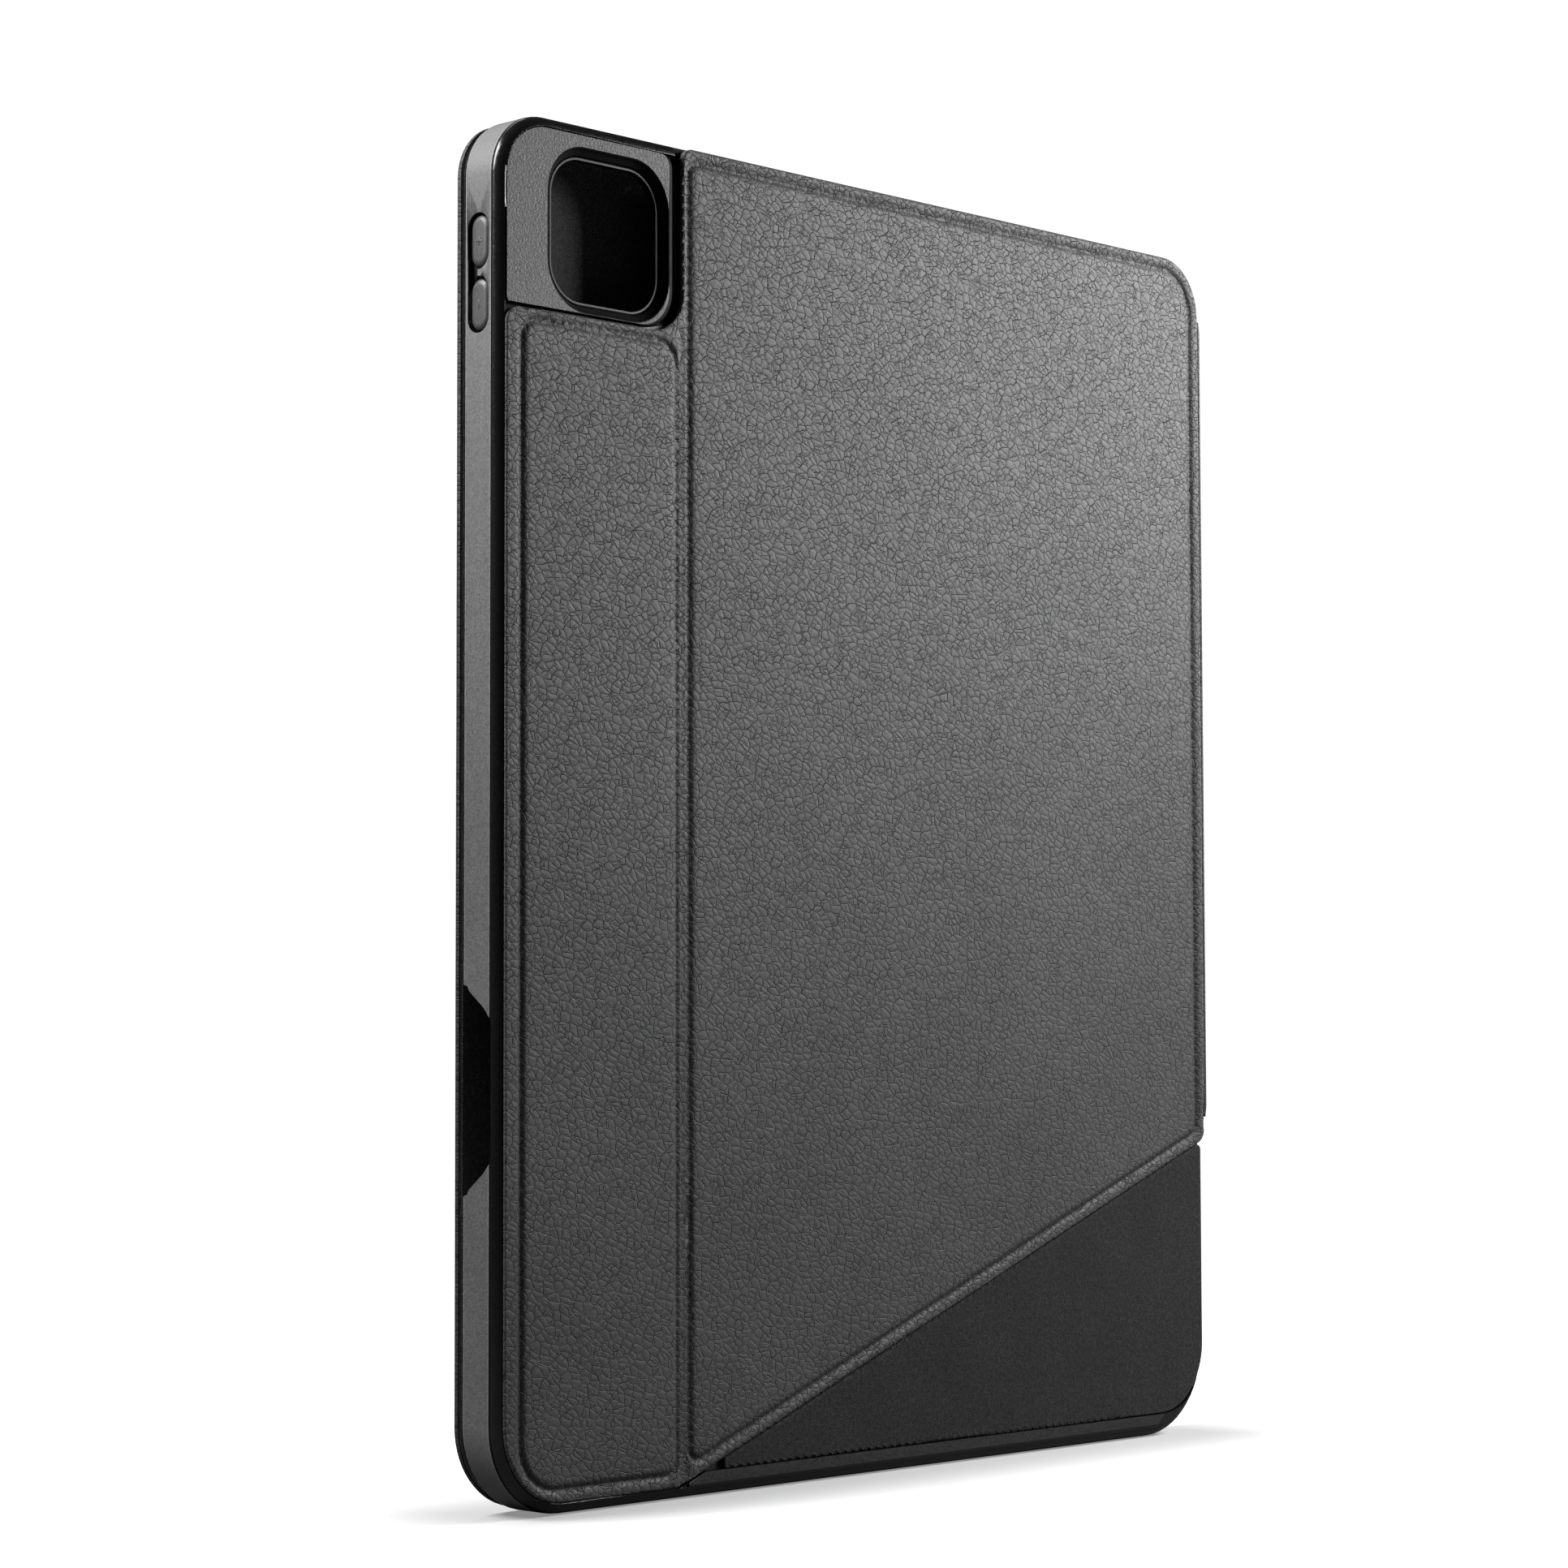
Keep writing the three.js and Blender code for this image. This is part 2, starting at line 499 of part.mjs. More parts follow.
put('bumper_frame', bumperFrame(), plastic, 0.55);
put('back_plate', backPlate(), 0x424243, 0.62);
put('camera_ring', cameraRing(), 0x1b1b1c, 0.5);
put('tray_lining', trayLining(), suede, 0.95);
put('strip_leather', stripLeather(), leather, 0.6);
put('strip_board', stripBoard(), board, 0.9);
put('corner_fabric', cornerFabric(), suede, 0.95);
put('corner_board', cornerBoard(), board, 0.9);
keeperXZ.forEach(([x, z], i) => {
  const plate = rect(x - 7, x + 7, z - 4, z + 4);
  put(`keeper_plate_${i + 1}`, slab(plate, floorY + 0.55, floorY + plateT - 0.05), steel, 0.4, 1);
});
put('volume_up_button', volumeButton(volumeUpZ), plastic, 0.5);
put('volume_down_button', volumeButton(volumeDownZ), plastic, 0.5);
put('power_button', powerButton(), plastic, 0.5);
put('flap_leather', flapLeather(), leather, 0.6);
put('flap_board', flapBoard(), board, 0.9);
put('flap_lining', flapLining(), suede, 0.95);
keeperXZ.forEach((p, i) => put(`flap_magnet_${i + 1}`, flapMagnetBlock(p), steel, 0.3, 1));
put('spine_leather', spineLeather(), leather, 0.6);
put('spine_board', spineBoard(), board, 0.9);
put('spine_lining', spineLining(), suede, 0.95);
put('cover_leather', coverLeather(), leather, 0.6);
put('cover_board', coverBoard(), board, 0.9);
put('cover_lining', coverLining(), suede, 0.95);
coverMagnetZ.forEach((z, i) => put(`cover_magnet_${i + 1}`, coverBlock(coverMagnetPoly(z)), steel, 0.3, 1));
put('sleep_magnet', coverBlock(sleepMagnetPoly()), steel, 0.3, 1);

export default group;
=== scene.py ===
"""Looks of the folio case: padded leather back and kickstand, woven corner, moulded tray, cover and
spine. Lengths in the helpers are millimetres; y is the depth from the leather back."""
import math

import bmesh
import bpy
import numpy as np
from mathutils import Matrix, Vector, noise
from mathutils.geometry import delaunay_2d_cdt


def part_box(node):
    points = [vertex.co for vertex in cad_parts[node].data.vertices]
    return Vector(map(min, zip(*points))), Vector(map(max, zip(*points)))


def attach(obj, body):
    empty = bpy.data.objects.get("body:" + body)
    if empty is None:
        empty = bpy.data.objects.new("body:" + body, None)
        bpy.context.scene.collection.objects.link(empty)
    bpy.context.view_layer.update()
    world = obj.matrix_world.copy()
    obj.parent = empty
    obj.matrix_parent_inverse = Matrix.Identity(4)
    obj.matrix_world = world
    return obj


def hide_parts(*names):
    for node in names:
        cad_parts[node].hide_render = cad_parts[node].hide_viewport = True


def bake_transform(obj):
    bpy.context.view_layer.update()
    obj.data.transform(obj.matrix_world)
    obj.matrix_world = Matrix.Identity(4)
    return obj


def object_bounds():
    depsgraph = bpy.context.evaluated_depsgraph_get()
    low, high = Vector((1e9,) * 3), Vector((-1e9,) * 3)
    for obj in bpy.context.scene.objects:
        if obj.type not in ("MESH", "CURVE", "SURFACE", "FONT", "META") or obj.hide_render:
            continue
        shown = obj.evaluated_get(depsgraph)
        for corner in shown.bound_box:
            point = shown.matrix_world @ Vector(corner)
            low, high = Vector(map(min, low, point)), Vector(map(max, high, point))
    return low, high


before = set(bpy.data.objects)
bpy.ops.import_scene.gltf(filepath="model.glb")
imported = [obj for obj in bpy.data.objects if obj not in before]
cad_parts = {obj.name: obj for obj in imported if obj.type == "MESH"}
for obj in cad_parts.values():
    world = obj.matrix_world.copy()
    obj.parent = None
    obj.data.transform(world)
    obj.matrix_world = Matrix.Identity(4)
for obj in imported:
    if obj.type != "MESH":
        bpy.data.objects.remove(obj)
cad_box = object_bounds()


# ------------------------------------------------------------------ sizes from the frame
def box(node):
    lo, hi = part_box(node)
    return [v * 1000 for v in lo], [v * 1000 for v in hi]


LO, HI = [v * 1000 for v in cad_box[0]], [v * 1000 for v in cad_box[1]]
T = HI[1] - LO[1]                       # whole thickness
H = HI[2] - LO[2]
(TX0, TY0, TZ0), (TX1, TY1, TZ1) = box("bumper_frame")
(SX0, _, SZ0), (SX1, _, sz) = box("strip_leather")
(FX0, _, _), (FX1, fy1, FZ1) = box("flap_leather")
(CX0, cy0, CZ0), (CX1, _, CZ1) = box("corner_fabric")
(VX0, _, VZ0), (VX1, _, VZ1) = box("cover_leather")
(PX0, py0, PZ0), (PX1, py1, PZ1) = box("spine_leather")
HORN = 9.5                              # hollow corner of the leather beside the camera field
SZ1 = sz - HORN - 1.5                   # top edge of the fixed strip
CREASE = (SX1 + FX0) / 2
BACK_Y = TY0 + T / 2
TIP = 2.6                               # height of the slanted edge where the woven corner starts
CORNER_GAP = 0.6                        # between the slanted edge and the woven corner
SLOPE = (CZ1 + CORNER_GAP - (CZ0 + TIP)) / (CX1 - CX0)


def diag(x):
    """Height of the flap's slanted lower edge."""
    return CZ0 + TIP + SLOPE * (x - CX0)


# ------------------------------------------------------------------ outlines in the X-Z plane
def unit(x, z):
    """The direction of a vector, at length one."""
    n = math.hypot(x, z)
    return x / n, z / n


def inset(poly, d):
    """Every side of an anticlockwise outline moved inwards by d."""
    out, n = [], len(poly)
    for i, p in enumerate(poly):
        a, b = poly[i - 1], poly[(i + 1) % n]
        u, v = unit(p[0] - a[0], p[1] - a[1]), unit(b[0] - p[0], b[1] - p[1])
        nu, nv = (-u[1], u[0]), (-v[1], v[0])
        k = d / (1 + nu[0] * nv[0] + nu[1] * nv[1])
        out.append((p[0] + (nu[0] + nv[0]) * k, p[1] + (nu[1] + nv[1]) * k))
    return out


def shrink(radii, d):
    """Radii after an inset by d; a negative radius marks a hollow corner, which grows instead."""
    return [r - d if r < 0 else (max(r - d, 0.3) if r else 0) for r in radii]


def rounded(poly, radii, arc=16, step=2.5):
    """Points round an outline with rounded corners and evenly split sides."""
    runs, n = [], len(poly)
    for i, p in enumerate(poly):
        r = abs(radii[i])
        if r < 1e-6:
            runs.append([p])
            continue
        a, b = poly[i - 1], poly[(i + 1) % n]
        u, v = unit(a[0] - p[0], a[1] - p[1]), unit(b[0] - p[0], b[1] - p[1])
        half = math.acos(max(-1, min(1, u[0] * v[0] + u[1] * v[1]))) / 2
        t, h, m = r / math.tan(half), r / math.sin(half), unit(u[0] + v[0], u[1] + v[1])
        c = (p[0] + m[0] * h, p[1] + m[1] * h)
        s = math.atan2(p[1] + u[1] * t - c[1], p[0] + u[0] * t - c[0])
        e = math.atan2(p[1] + v[1] * t - c[1], p[0] + v[0] * t - c[0])
        sweep = (e - s + math.pi) % (2 * math.pi) - math.pi
        runs.append([(c[0] + r * math.cos(s + sweep * k / arc), c[1] + r * math.sin(s + sweep * k / arc))
                     for k in range(arc + 1)])
    out = []
    for i, run in enumerate(runs):
        out += run
        a, b = run[-1], runs[(i + 1) % n][0]
        parts = int(math.hypot(b[0] - a[0], b[1] - a[1]) / step)
        out += [(a[0] + (b[0] - a[0]) * k / parts, a[1] + (b[1] - a[1]) * k / parts)
                for k in range(1, parts)]
    return out


def rect(x0, x1, z0, z1):
    return [(x0, z0), (x1, z0), (x1, z1), (x0, z1)]


def away(points, loop):
    """Signed distance of each point from a closed outline, positive inside."""
    p, a = np.asarray(points, float), np.asarray(loop, float)
    b = np.roll(a, -1, 0)
    d = np.full(len(p), 1e9)
    inside = np.zeros(len(p), bool)
    for s, e in zip(a, b):
        v = e - s
        t = np.clip(((p - s) @ v) / max(v @ v, 1e-12), 0, 1)
        d = np.minimum(d, np.hypot(*(p - s - t[:, None] * v).T))
        if s[1] != e[1]:
            hit = ((s[1] > p[:, 1]) != (e[1] > p[:, 1])) & (
                p[:, 0] < (e[0] - s[0]) * (p[:, 1] - s[1]) / (e[1] - s[1]) + s[0])
            inside ^= hit
    return np.where(inside, d, -d)


def nearest(points, among):
    """Index of the point in among that lies closest to each point."""
    among = np.asarray(among)
    return [int(np.argmin(((among - np.asarray(p)) ** 2).sum(1))) for p in points]


def flat_area(loop):
    """Area in square metres inside an outline."""
    a = np.asarray(loop, float)
    b = np.roll(a, -1, 0)
    return abs(float((a[:, 0] * b[:, 1] - b[:, 0] * a[:, 1]).sum())) / 2e6


SLIVER = 4e-4       # twice the area, mm2, under which a triangle is left out


def triangles(points, loop, holes=()):
    """Delaunay triangles of the points that lie inside loop and outside the holes."""
    pts = [Vector(p) for p in points]
    edges, k = [], 0
    for ring in (loop, *holes):
        edges += [(k + i, k + (i + 1) % len(ring)) for i in range(len(ring))]
        k += len(ring)
    vs, _, faces, *_ = delaunay_2d_cdt(pts, edges, [], 0, 1e-5, False)
    co = np.array([tuple(v) for v in vs])
    f = np.array([t for t in faces if len(t) == 3])
    a, b, c = (co[f[:, i]] for i in range(3))
    size = np.abs((b[:, 0] - a[:, 0]) * (c[:, 1] - a[:, 1]) - (b[:, 1] - a[:, 1]) * (c[:, 0] - a[:, 0]))
    mid = co[f].mean(1)
    keep = (away(mid, loop) > 0) & (size > SLIVER)
    for h in holes:
        keep &= away(mid, h) < 0
    return co, f[keep]


# ------------------------------------------------------------------ making pieces
def smoothstep(t):
    t = np.clip(t, 0, 1)
    return t * t * (3 - 2 * t)


def ripple(x, z, wave, seed=0.0):
    """Gentle unevenness, about one wave long, between -1 and 1."""
    return np.array([noise.noise(Vector((a / wave, b / wave, seed))) for a, b in zip(x, z)])


def add_object(name, verts, faces, rest, wear_and_painted_light, mats, slots=None):
    """A mesh from points in mm (x, depth, z), with its flat coordinates and a tone attribute: edge wear with
    a painted highlight along edges, and painted shade in grooves.
    """
    me = bpy.data.meshes.new(name)
    v = np.asarray(verts, float)
    co = np.column_stack([v[:, 0], v[:, 1] - T / 2, v[:, 2]]) / 1000
    me.from_pydata([tuple(p) for p in co], [], [tuple(int(i) for i in f) for f in faces])
    flat = me.attributes.new("rest", "FLOAT_VECTOR", "POINT")
    flat.data.foreach_set("vector", (np.asarray(rest, float) / 1000).astype(np.float32).ravel())
    wear_light_layer = me.attributes.new("wear_and_painted_light", "FLOAT", "POINT")
    wear_light_layer.data.foreach_set("value", np.asarray(wear_and_painted_light, np.float32))
    for m in mats:
        me.materials.append(m)
    if slots is not None:
        me.polygons.foreach_set("material_index", np.asarray(slots, np.int32))
    me.validate()
    bm = bmesh.new()
    bm.from_mesh(me)
    bmesh.ops.recalc_face_normals(bm, faces=bm.faces)
    bm.to_mesh(me)
    bm.free()
    me.shade_smooth()
    me.set_sharp_from_angle(angle=math.radians(50))
    ob = bpy.data.objects.new(name, me)
    bpy.context.scene.collection.objects.link(ob)
    return ob


GROOVE_RINGS = (-2.2, -1.6, -1.15, -.75, -.35, 0, .35, .75, 1.15, 1.6, 2.2)     # offsets from its middle
GROOVE_CLEAR = 2.9      # no grid point comes closer to the middle of a groove
EDGE_WEAR_HIGHLIGHT_WIDTH = 0.7            # width of the lighter line along an edge: edge wear and a painted highlight


def columns(lines, z0, z1, loop):
    """Points in vertical rows at the given x, inside loop."""
    out = []
    for x in lines:
        col = np.array([(x, z) for z in np.arange(z0 + 0.7, z1, 2.5)])
        out += [tuple(p) for p in col[away(col, loop) > 0.4]]
    return out


def skin(name, poly, radii, depth, skirt, mats, under, rims=(0, .12, .28, .5, .8, 1.3), grooves=(),
         hole=None, lines=(), facing=-1, turned=(0.5, 0.8), grid=3.2, edge=0.45, edge_wear_and_highlight=1.0):
    """A soft panel. depth(x, z, e) is its surface (e is the distance from its edge), skirt(x, z) how
    deep its edge goes, under its flat underside, turned the width of its folded hem."""
    loops = [rounded(inset(poly, d) if d else poly, shrink(radii, d)) for d in rims]
    outline = loops[0]
    pts = list(outline)
    if hole:
        pts += hole
    for ring in loops[1:]:
        pts += ring
    centre = []
    for g_poly, g_radii in grooves:
        loop = rounded(g_poly, g_radii)
        centre.append(loop)
        for d in GROOVE_RINGS:
            pts += rounded(inset(g_poly, d), shrink(g_radii, d)) if d else loop
    x0, z0 = np.min(outline, 0)
    x1, z1 = np.max(outline, 0)
    gx, gz = np.meshgrid(np.arange(x0 + grid / 2, x1, grid), np.arange(z0 + grid / 2, z1, grid))
    free = np.column_stack([gx.ravel(), gz.ravel()])
    keep = away(free, outline) > rims[-1] + 0.6
    for loop in centre:
        keep &= np.abs(away(free, loop)) > GROOVE_CLEAR
    if hole:
        keep &= away(free, hole) < -1.5
    pts += [tuple(p) for p in free[keep]]
    pts += columns(lines, z0, z1, outline)
    co, tri = triangles(pts, outline, [hole] if hole else ())
    e = np.abs(away(co, outline))
    if hole:
        e = np.minimum(e, np.abs(away(co, hole)))
    y = depth(co[:, 0], co[:, 1], e)
    turn = edge(co[:, 0], co[:, 1]) if callable(edge) else np.full(len(co), edge)
    fall = np.clip(1 - e / turn, 0, 1)
    y = y + turn * (1 - np.sqrt(1 - fall ** 2 * 0.98))
    flip = (lambda v: v) if facing < 0 else (lambda v: T - v)
    verts = [(a, flip(b), c) for (a, c), b in zip(co, y)]
    rest = [(a, c, b) for (a, c), b in zip(co, y)]
    # lighter along the edge: edge wear and a painted highlight
    wear_and_painted_light = edge_wear_and_highlight * np.clip(1 - e / EDGE_WEAR_HIGHLIGHT_WIDTH, 0, 1)
    # painted shade: darker colour along the middle of each groove
    for loop in centre:
        wear_and_painted_light -= 1.1 * np.exp(-(away(co, loop) / 1.05) ** 2)
    # darker on the border outside the grooves
    if centre:
        inside = np.max([away(co, loop) for loop in centre], axis=0)
        wear_and_painted_light -= 0.3 * np.clip(-inside / 1.5, 0, 1)
    wear_and_painted_light = list(wear_and_painted_light)
    faces = [tuple(t) for t in tri]

    def add_ring(loop_pts, ys):
        k = len(verts)
        verts.extend((p[0], flip(b), p[1]) for p, b in zip(loop_pts, ys))
        rest.extend((p[0], p[1], b) for p, b in zip(loop_pts, ys))
        # the turned edge's rings are lighter: edge wear and a painted highlight
        wear_and_painted_light.extend([0.35] * len(loop_pts))
        return list(range(k, k + len(loop_pts)))

    def bridge(a, b):
        for i in range(len(a)):
            j = (i + 1) % len(a)
            faces.append((a[i], a[j], b[j], b[i]))

    sk = np.array([skirt(*p) for p in outline])
    top = nearest(outline, co)
    wall = add_ring(outline, sk - 0.06)
    bridge(top, wall)
    a_in, b_in, c_in = (rounded(inset(poly, d), shrink(radii, d))
                        for d in (turned[0] * 0.15, turned[0], turned[1]))
    low = add_ring(a_in, sk)
    bridge(wall, low)
    hem = add_ring(b_in, sk)
    bridge(low, hem)
    last = add_ring(c_in, np.minimum(sk, under))
    bridge(hem, last)
    cap_pts = list(c_in)
    if hole:
        bottom = add_ring(hole, [under] * len(hole))
        bridge(nearest(hole, co), bottom)
        cap_pts += hole
    cap_pts += columns(lines, z0, z1, c_in)
    co2, tri2 = triangles(cap_pts, c_in, [hole] if hole else ())
    where = [-1] * len(co2)
    for ids, loop in ((last, c_in),) + (((bottom, hole),) if hole else ()):
        for i, k in zip(ids, nearest(loop, co2)):
            where[k] = i
    for k, p in enumerate(co2):
        if where[k] < 0:
            where[k] = len(verts)
            verts.append((p[0], flip(under), p[1]))
            rest.append((p[0], p[1], under))
            wear_and_painted_light.append(0)
    faces += [tuple(where[i] for i in t) for t in tri2]
    ob = add_object(name, verts, faces, rest, wear_and_painted_light, mats)
    ob["outline_area"] = flat_area(outline)
    return ob


# ------------------------------------------------------------------ materials
class Look:
    """A procedural material: Principled surface, colour, roughness and bump from nodes."""

    def __init__(self, name, **plain):
        self.mat = bpy.data.materials.new(name)
        self.mat.use_nodes = True
        self.t = self.mat.node_tree
        self.t.nodes.clear()
        self.out = self.t.nodes.new("ShaderNodeOutputMaterial")
        self.b = self.t.nodes.new("ShaderNodeBsdfPrincipled")
        self.t.links.new(self.b.outputs[0], self.out.inputs[0])
        for k, v in plain.items():
            self.b.inputs[k.replace("_", " ")].default_value = v

    def add(self, kind, props=None, **ins):
        n = self.t.nodes.new(kind)
        for k, v in (props or {}).items():
            setattr(n, k, v)
        for k, v in ins.items():
            key = int(k[1:]) if k[0] == "i" and k[1:].isdigit() else k.replace("_", " ")
            if isinstance(v, bpy.types.NodeSocket):
                self.t.links.new(v, n.inputs[key])
            else:
                n.inputs[key].default_value = v
        return n

    def math(self, op, a, b=0.0, c=0.0):
        return self.add("ShaderNodeMath", {"operation": op}, i0=a, i1=b, i2=c).outputs[0]

    def vmath(self, op, a, b):
        return self.add("ShaderNodeVectorMath", {"operation": op}, i0=a, i1=b).outputs[0]

    def rest(self):
        return self.add("ShaderNodeAttribute", {"attribute_name": "rest"}).outputs["Vector"]

    # per-point tone attribute: edge wear with a painted highlight along edges, painted shade in grooves
    def wear_and_painted_light(self):
        return self.add("ShaderNodeAttribute", {"attribute_name": "wear_and_painted_light"}).outputs["Fac"]

    def place(self):
        return self.add("ShaderNodeTexCoord").outputs["Object"]

    def noise(self, vec, scale, detail=2.0, rough=0.5):
        return self.add("ShaderNodeTexNoise", None, Vector=vec, Scale=scale, Detail=detail, Roughness=rough)

    def grains(self, vec, scale, detail=2.0, rough=0.5):
        return self.noise(vec, scale, detail, rough).outputs["Fac"]

    def cells(self, vec, scale):
        return self.add("ShaderNodeTexVoronoi", {"feature": "DISTANCE_TO_EDGE", "voronoi_dimensions": "2D"},
                        Vector=vec, Scale=scale).outputs["Distance"]

    def span(self, v, a, b, c, d):
        """v from the range a to b brought smoothly to the range c to d."""
        return self.add("ShaderNodeMapRange", {"interpolation_type": "SMOOTHSTEP"},
                        i0=v, i1=a, i2=b, i3=c, i4=d).outputs[0]

    def times(self, *factors):
        out = factors[0]
        for f in factors[1:]:
            out = self.math("MULTIPLY", out, f)
        return out

    def shade(self, base, tone):
        """A neutral grey scaled by tone."""
        out = self.add("ShaderNodeVectorMath", {"operation": "SCALE"}, i0=(base, base, base)).outputs[0]
        self.t.links.new(tone, out.node.inputs["Scale"])
        return out

    def mix(self, fac, a, b):
        n = self.t.nodes.new("ShaderNodeMix")
        n.data_type = "RGBA"
        for s, v in ((n.inputs[0], fac), (n.inputs[6], a), (n.inputs[7], b)):
            if isinstance(v, bpy.types.NodeSocket):
                self.t.links.new(v, s)
            else:
                s.default_value = v
        return n.outputs[2]

    def surface(self, colour=None, rough=None, height=None, bump=0.4, size=0.0002):
        if colour is not None:
            self.t.links.new(colour, self.b.inputs["Base Color"])
        if rough is not None:
            self.t.links.new(rough, self.b.inputs["Roughness"])
        if height is not None:
            n = self.add("ShaderNodeBump", None, Strength=bump, Distance=size, Height=height)
            self.t.links.new(n.outputs[0], self.b.inputs["Normal"])
        return self.mat


def leather(name, base, seed=0.0):
    """Embossed leather-look skin: crossing creases, domed cells between them, and pores."""
    k = Look(name, IOR=1.46, Specular_IOR_Level=0.42)
    rest = k.rest()
    moved = k.vmath("ADD", rest, (seed, seed * 1.7, 0))
    warp = k.noise(moved, 520, 3, 0.6).outputs["Color"]
    warp = k.vmath("SCALE", k.vmath("SUBTRACT", warp, (0.5, 0.5, 0.5)), (0, 0, 0))
    warp.node.inputs["Scale"].default_value = 0.0009
    vec = k.vmath("ADD", moved, warp)

    def creases(angle, stretch, scale, width):
        turn = k.add("ShaderNodeMapping", None, Vector=vec, Rotation=(0, 0, angle)).outputs[0]
        long = k.add("ShaderNodeMapping", None, Vector=turn, Scale=(stretch, 1.0, 1.0)).outputs[0]
        d = k.cells(long, scale)
        return d, k.span(d, 0.0, width, 1.0, 0.0)

    main, c1 = creases(0.42, 0.62, 640, 0.07)
    _, c2 = creases(-0.5, 0.55, 660, 0.065)
    _, c3 = creases(0.05, 0.7, 1400, 0.08)
    fade1 = k.span(k.grains(moved, 240, 2), 0.36, 0.6, 0.45, 1.0)
    fade2 = k.span(k.grains(moved, 300, 2), 0.42, 0.62, 0.15, 0.95)
    fade3 = k.span(k.grains(moved, 350, 2), 0.46, 0.66, 0.0, 0.6)
    crack = k.math("MAXIMUM", k.times(c1, fade1), k.times(c2, fade2))
    crack = k.math("MAXIMUM", crack, k.times(c3, fade3))
    dome = k.span(main, 0.0, 0.4, 0.0, 1.0)
    fine = k.grains(moved, 5200, 2, 0.6)
    pores = k.grains(moved, 1900, 3, 0.65)
    broad = k.grains(moved, 24, 3, 0.55)
    mid = k.grains(moved, 150, 2, 0.5)
    height = k.math("ADD", k.times(crack, -1.0), k.times(dome, 0.35))
    height = k.math("ADD", height, k.times(fine, 0.22))
    height = k.math("ADD", height, k.times(pores, 0.4))
    tone = k.math("ADD", k.span(broad, 0.3, 0.7, 0.9, 1.1), k.span(mid, 0.3, 0.7, -0.05, 0.05))
    # tone is raised along edges (edge wear and a painted highlight) and lowered in grooves (painted shade) by
    # the wear attribute
    tone = k.times(tone, k.span(pores, 0.25, 0.75, 0.84, 1.16),
                   k.math("SUBTRACT", 1.0, k.times(crack, 0.85)),
                   k.math("ADD", 1.0, k.times(k.wear_and_painted_light(), 0.55)))
    rough = k.math("ADD", k.span(fine, 0.3, 0.7, 0.50, 0.62), k.times(crack, 0.2))
    return k.surface(k.shade(base, tone), rough, height, 0.75, 0.00016)


def cloth(name, base, pitch, sheen, nap=1.0):
    """Fine woven or brushed cloth."""
    k = Look(name, IOR=1.4, Specular_IOR_Level=0.25, Sheen_Weight=sheen, Sheen_Roughness=0.5)
    rest = k.rest()
    sep = k.add("ShaderNodeSeparateXYZ", None, i0=k.vmath("ADD", rest, k.vmath(
        "MULTIPLY", k.noise(rest, 700, 2).outputs["Color"], (0.0002, 0.0002, 0))))
    f = 2 * math.pi / (pitch / 1000)
    weave = k.times(*(k.math("SINE", k.times(sep.outputs[i], f)) for i in (0, 1)))
    fluff = k.grains(rest, 2600, 4, 0.7)
    broad = k.grains(rest, 60, 3, 0.5)
    height = k.math("ADD", k.times(weave, 0.5), k.times(fluff, 1.6 * nap))
    clump = k.grains(rest, 1100, 2, 0.6)
    # the wear attribute makes the edges lighter: edge wear and a painted highlight
    tone = k.times(k.span(broad, 0.3, 0.7, 0.88, 1.12), k.span(fluff, 0.3, 0.72, 0.5, 1.6),
                   k.span(clump, 0.32, 0.68, 0.6, 1.45), k.span(weave, -1, 1, 0.8, 1.12),
                   k.math("ADD", 1.0, k.times(k.wear_and_painted_light(), 0.9)))
    return k.surface(k.shade(base, tone), k.span(fluff, 0.3, 0.7, 0.75, 0.95), height, 0.6, 0.0002)


def plastic(name, base, rough, grain=2600, bump=0.35, size=0.00006, spread=0.12, speck=0.3, shine=0.5,
            highlight_y=()):
    """Moulded plastic with a fine spark-eroded texture, and a painted highlight, a lighter line, where its
    edge turns.
    """
    k = Look(name, IOR=1.49, Specular_IOR_Level=shine)
    at = k.place()
    fine = k.grains(at, grain, 3, 0.7)
    broad = k.grains(at, 30, 3)
    tone = k.times(k.span(broad, 0.3, 0.7, 0.94, 1.06), k.span(fine, 0.3, 0.7, 1 - speck, 1 + speck))
    # painted highlight: the colour is made lighter in a thin line at each given depth
    for line in highlight_y:
        y = k.add("ShaderNodeSeparateXYZ", None, i0=at).outputs[1]
        near = k.math("ABSOLUTE", k.math("SUBTRACT", y, line / 1000))
        tone = k.times(tone, k.span(near, 0.0, 0.0003, 1.5, 1.0))
    return k.surface(k.shade(base, tone), k.span(fine, 0.3, 0.7, rough - spread, rough + spread), fine, bump,
                     size)


def board(name):
    """Pressed fibre board."""
    k = Look(name, IOR=1.45, Specular_IOR_Level=0.2)
    at = k.place()
    stretched = k.add("ShaderNodeMapping", None, Vector=at, Scale=(1, 1, 0.25)).outputs[0]
    fibre = k.grains(stretched, 1800, 4, 0.7)
    fleck = k.grains(at, 500, 2)
    colour = k.mix(k.span(fibre, 0.35, 0.65, 0, 1), (0.16, 0.15, 0.135, 1), (0.27, 0.255, 0.23, 1))
    colour = k.mix(k.span(fleck, 0.62, 0.7, 0, 0.5), colour, (0.08, 0.075, 0.07, 1))
    return k.surface(colour, k.span(fibre, 0.3, 0.7, 0.7, 0.9), fibre, 0.4, 0.0001)


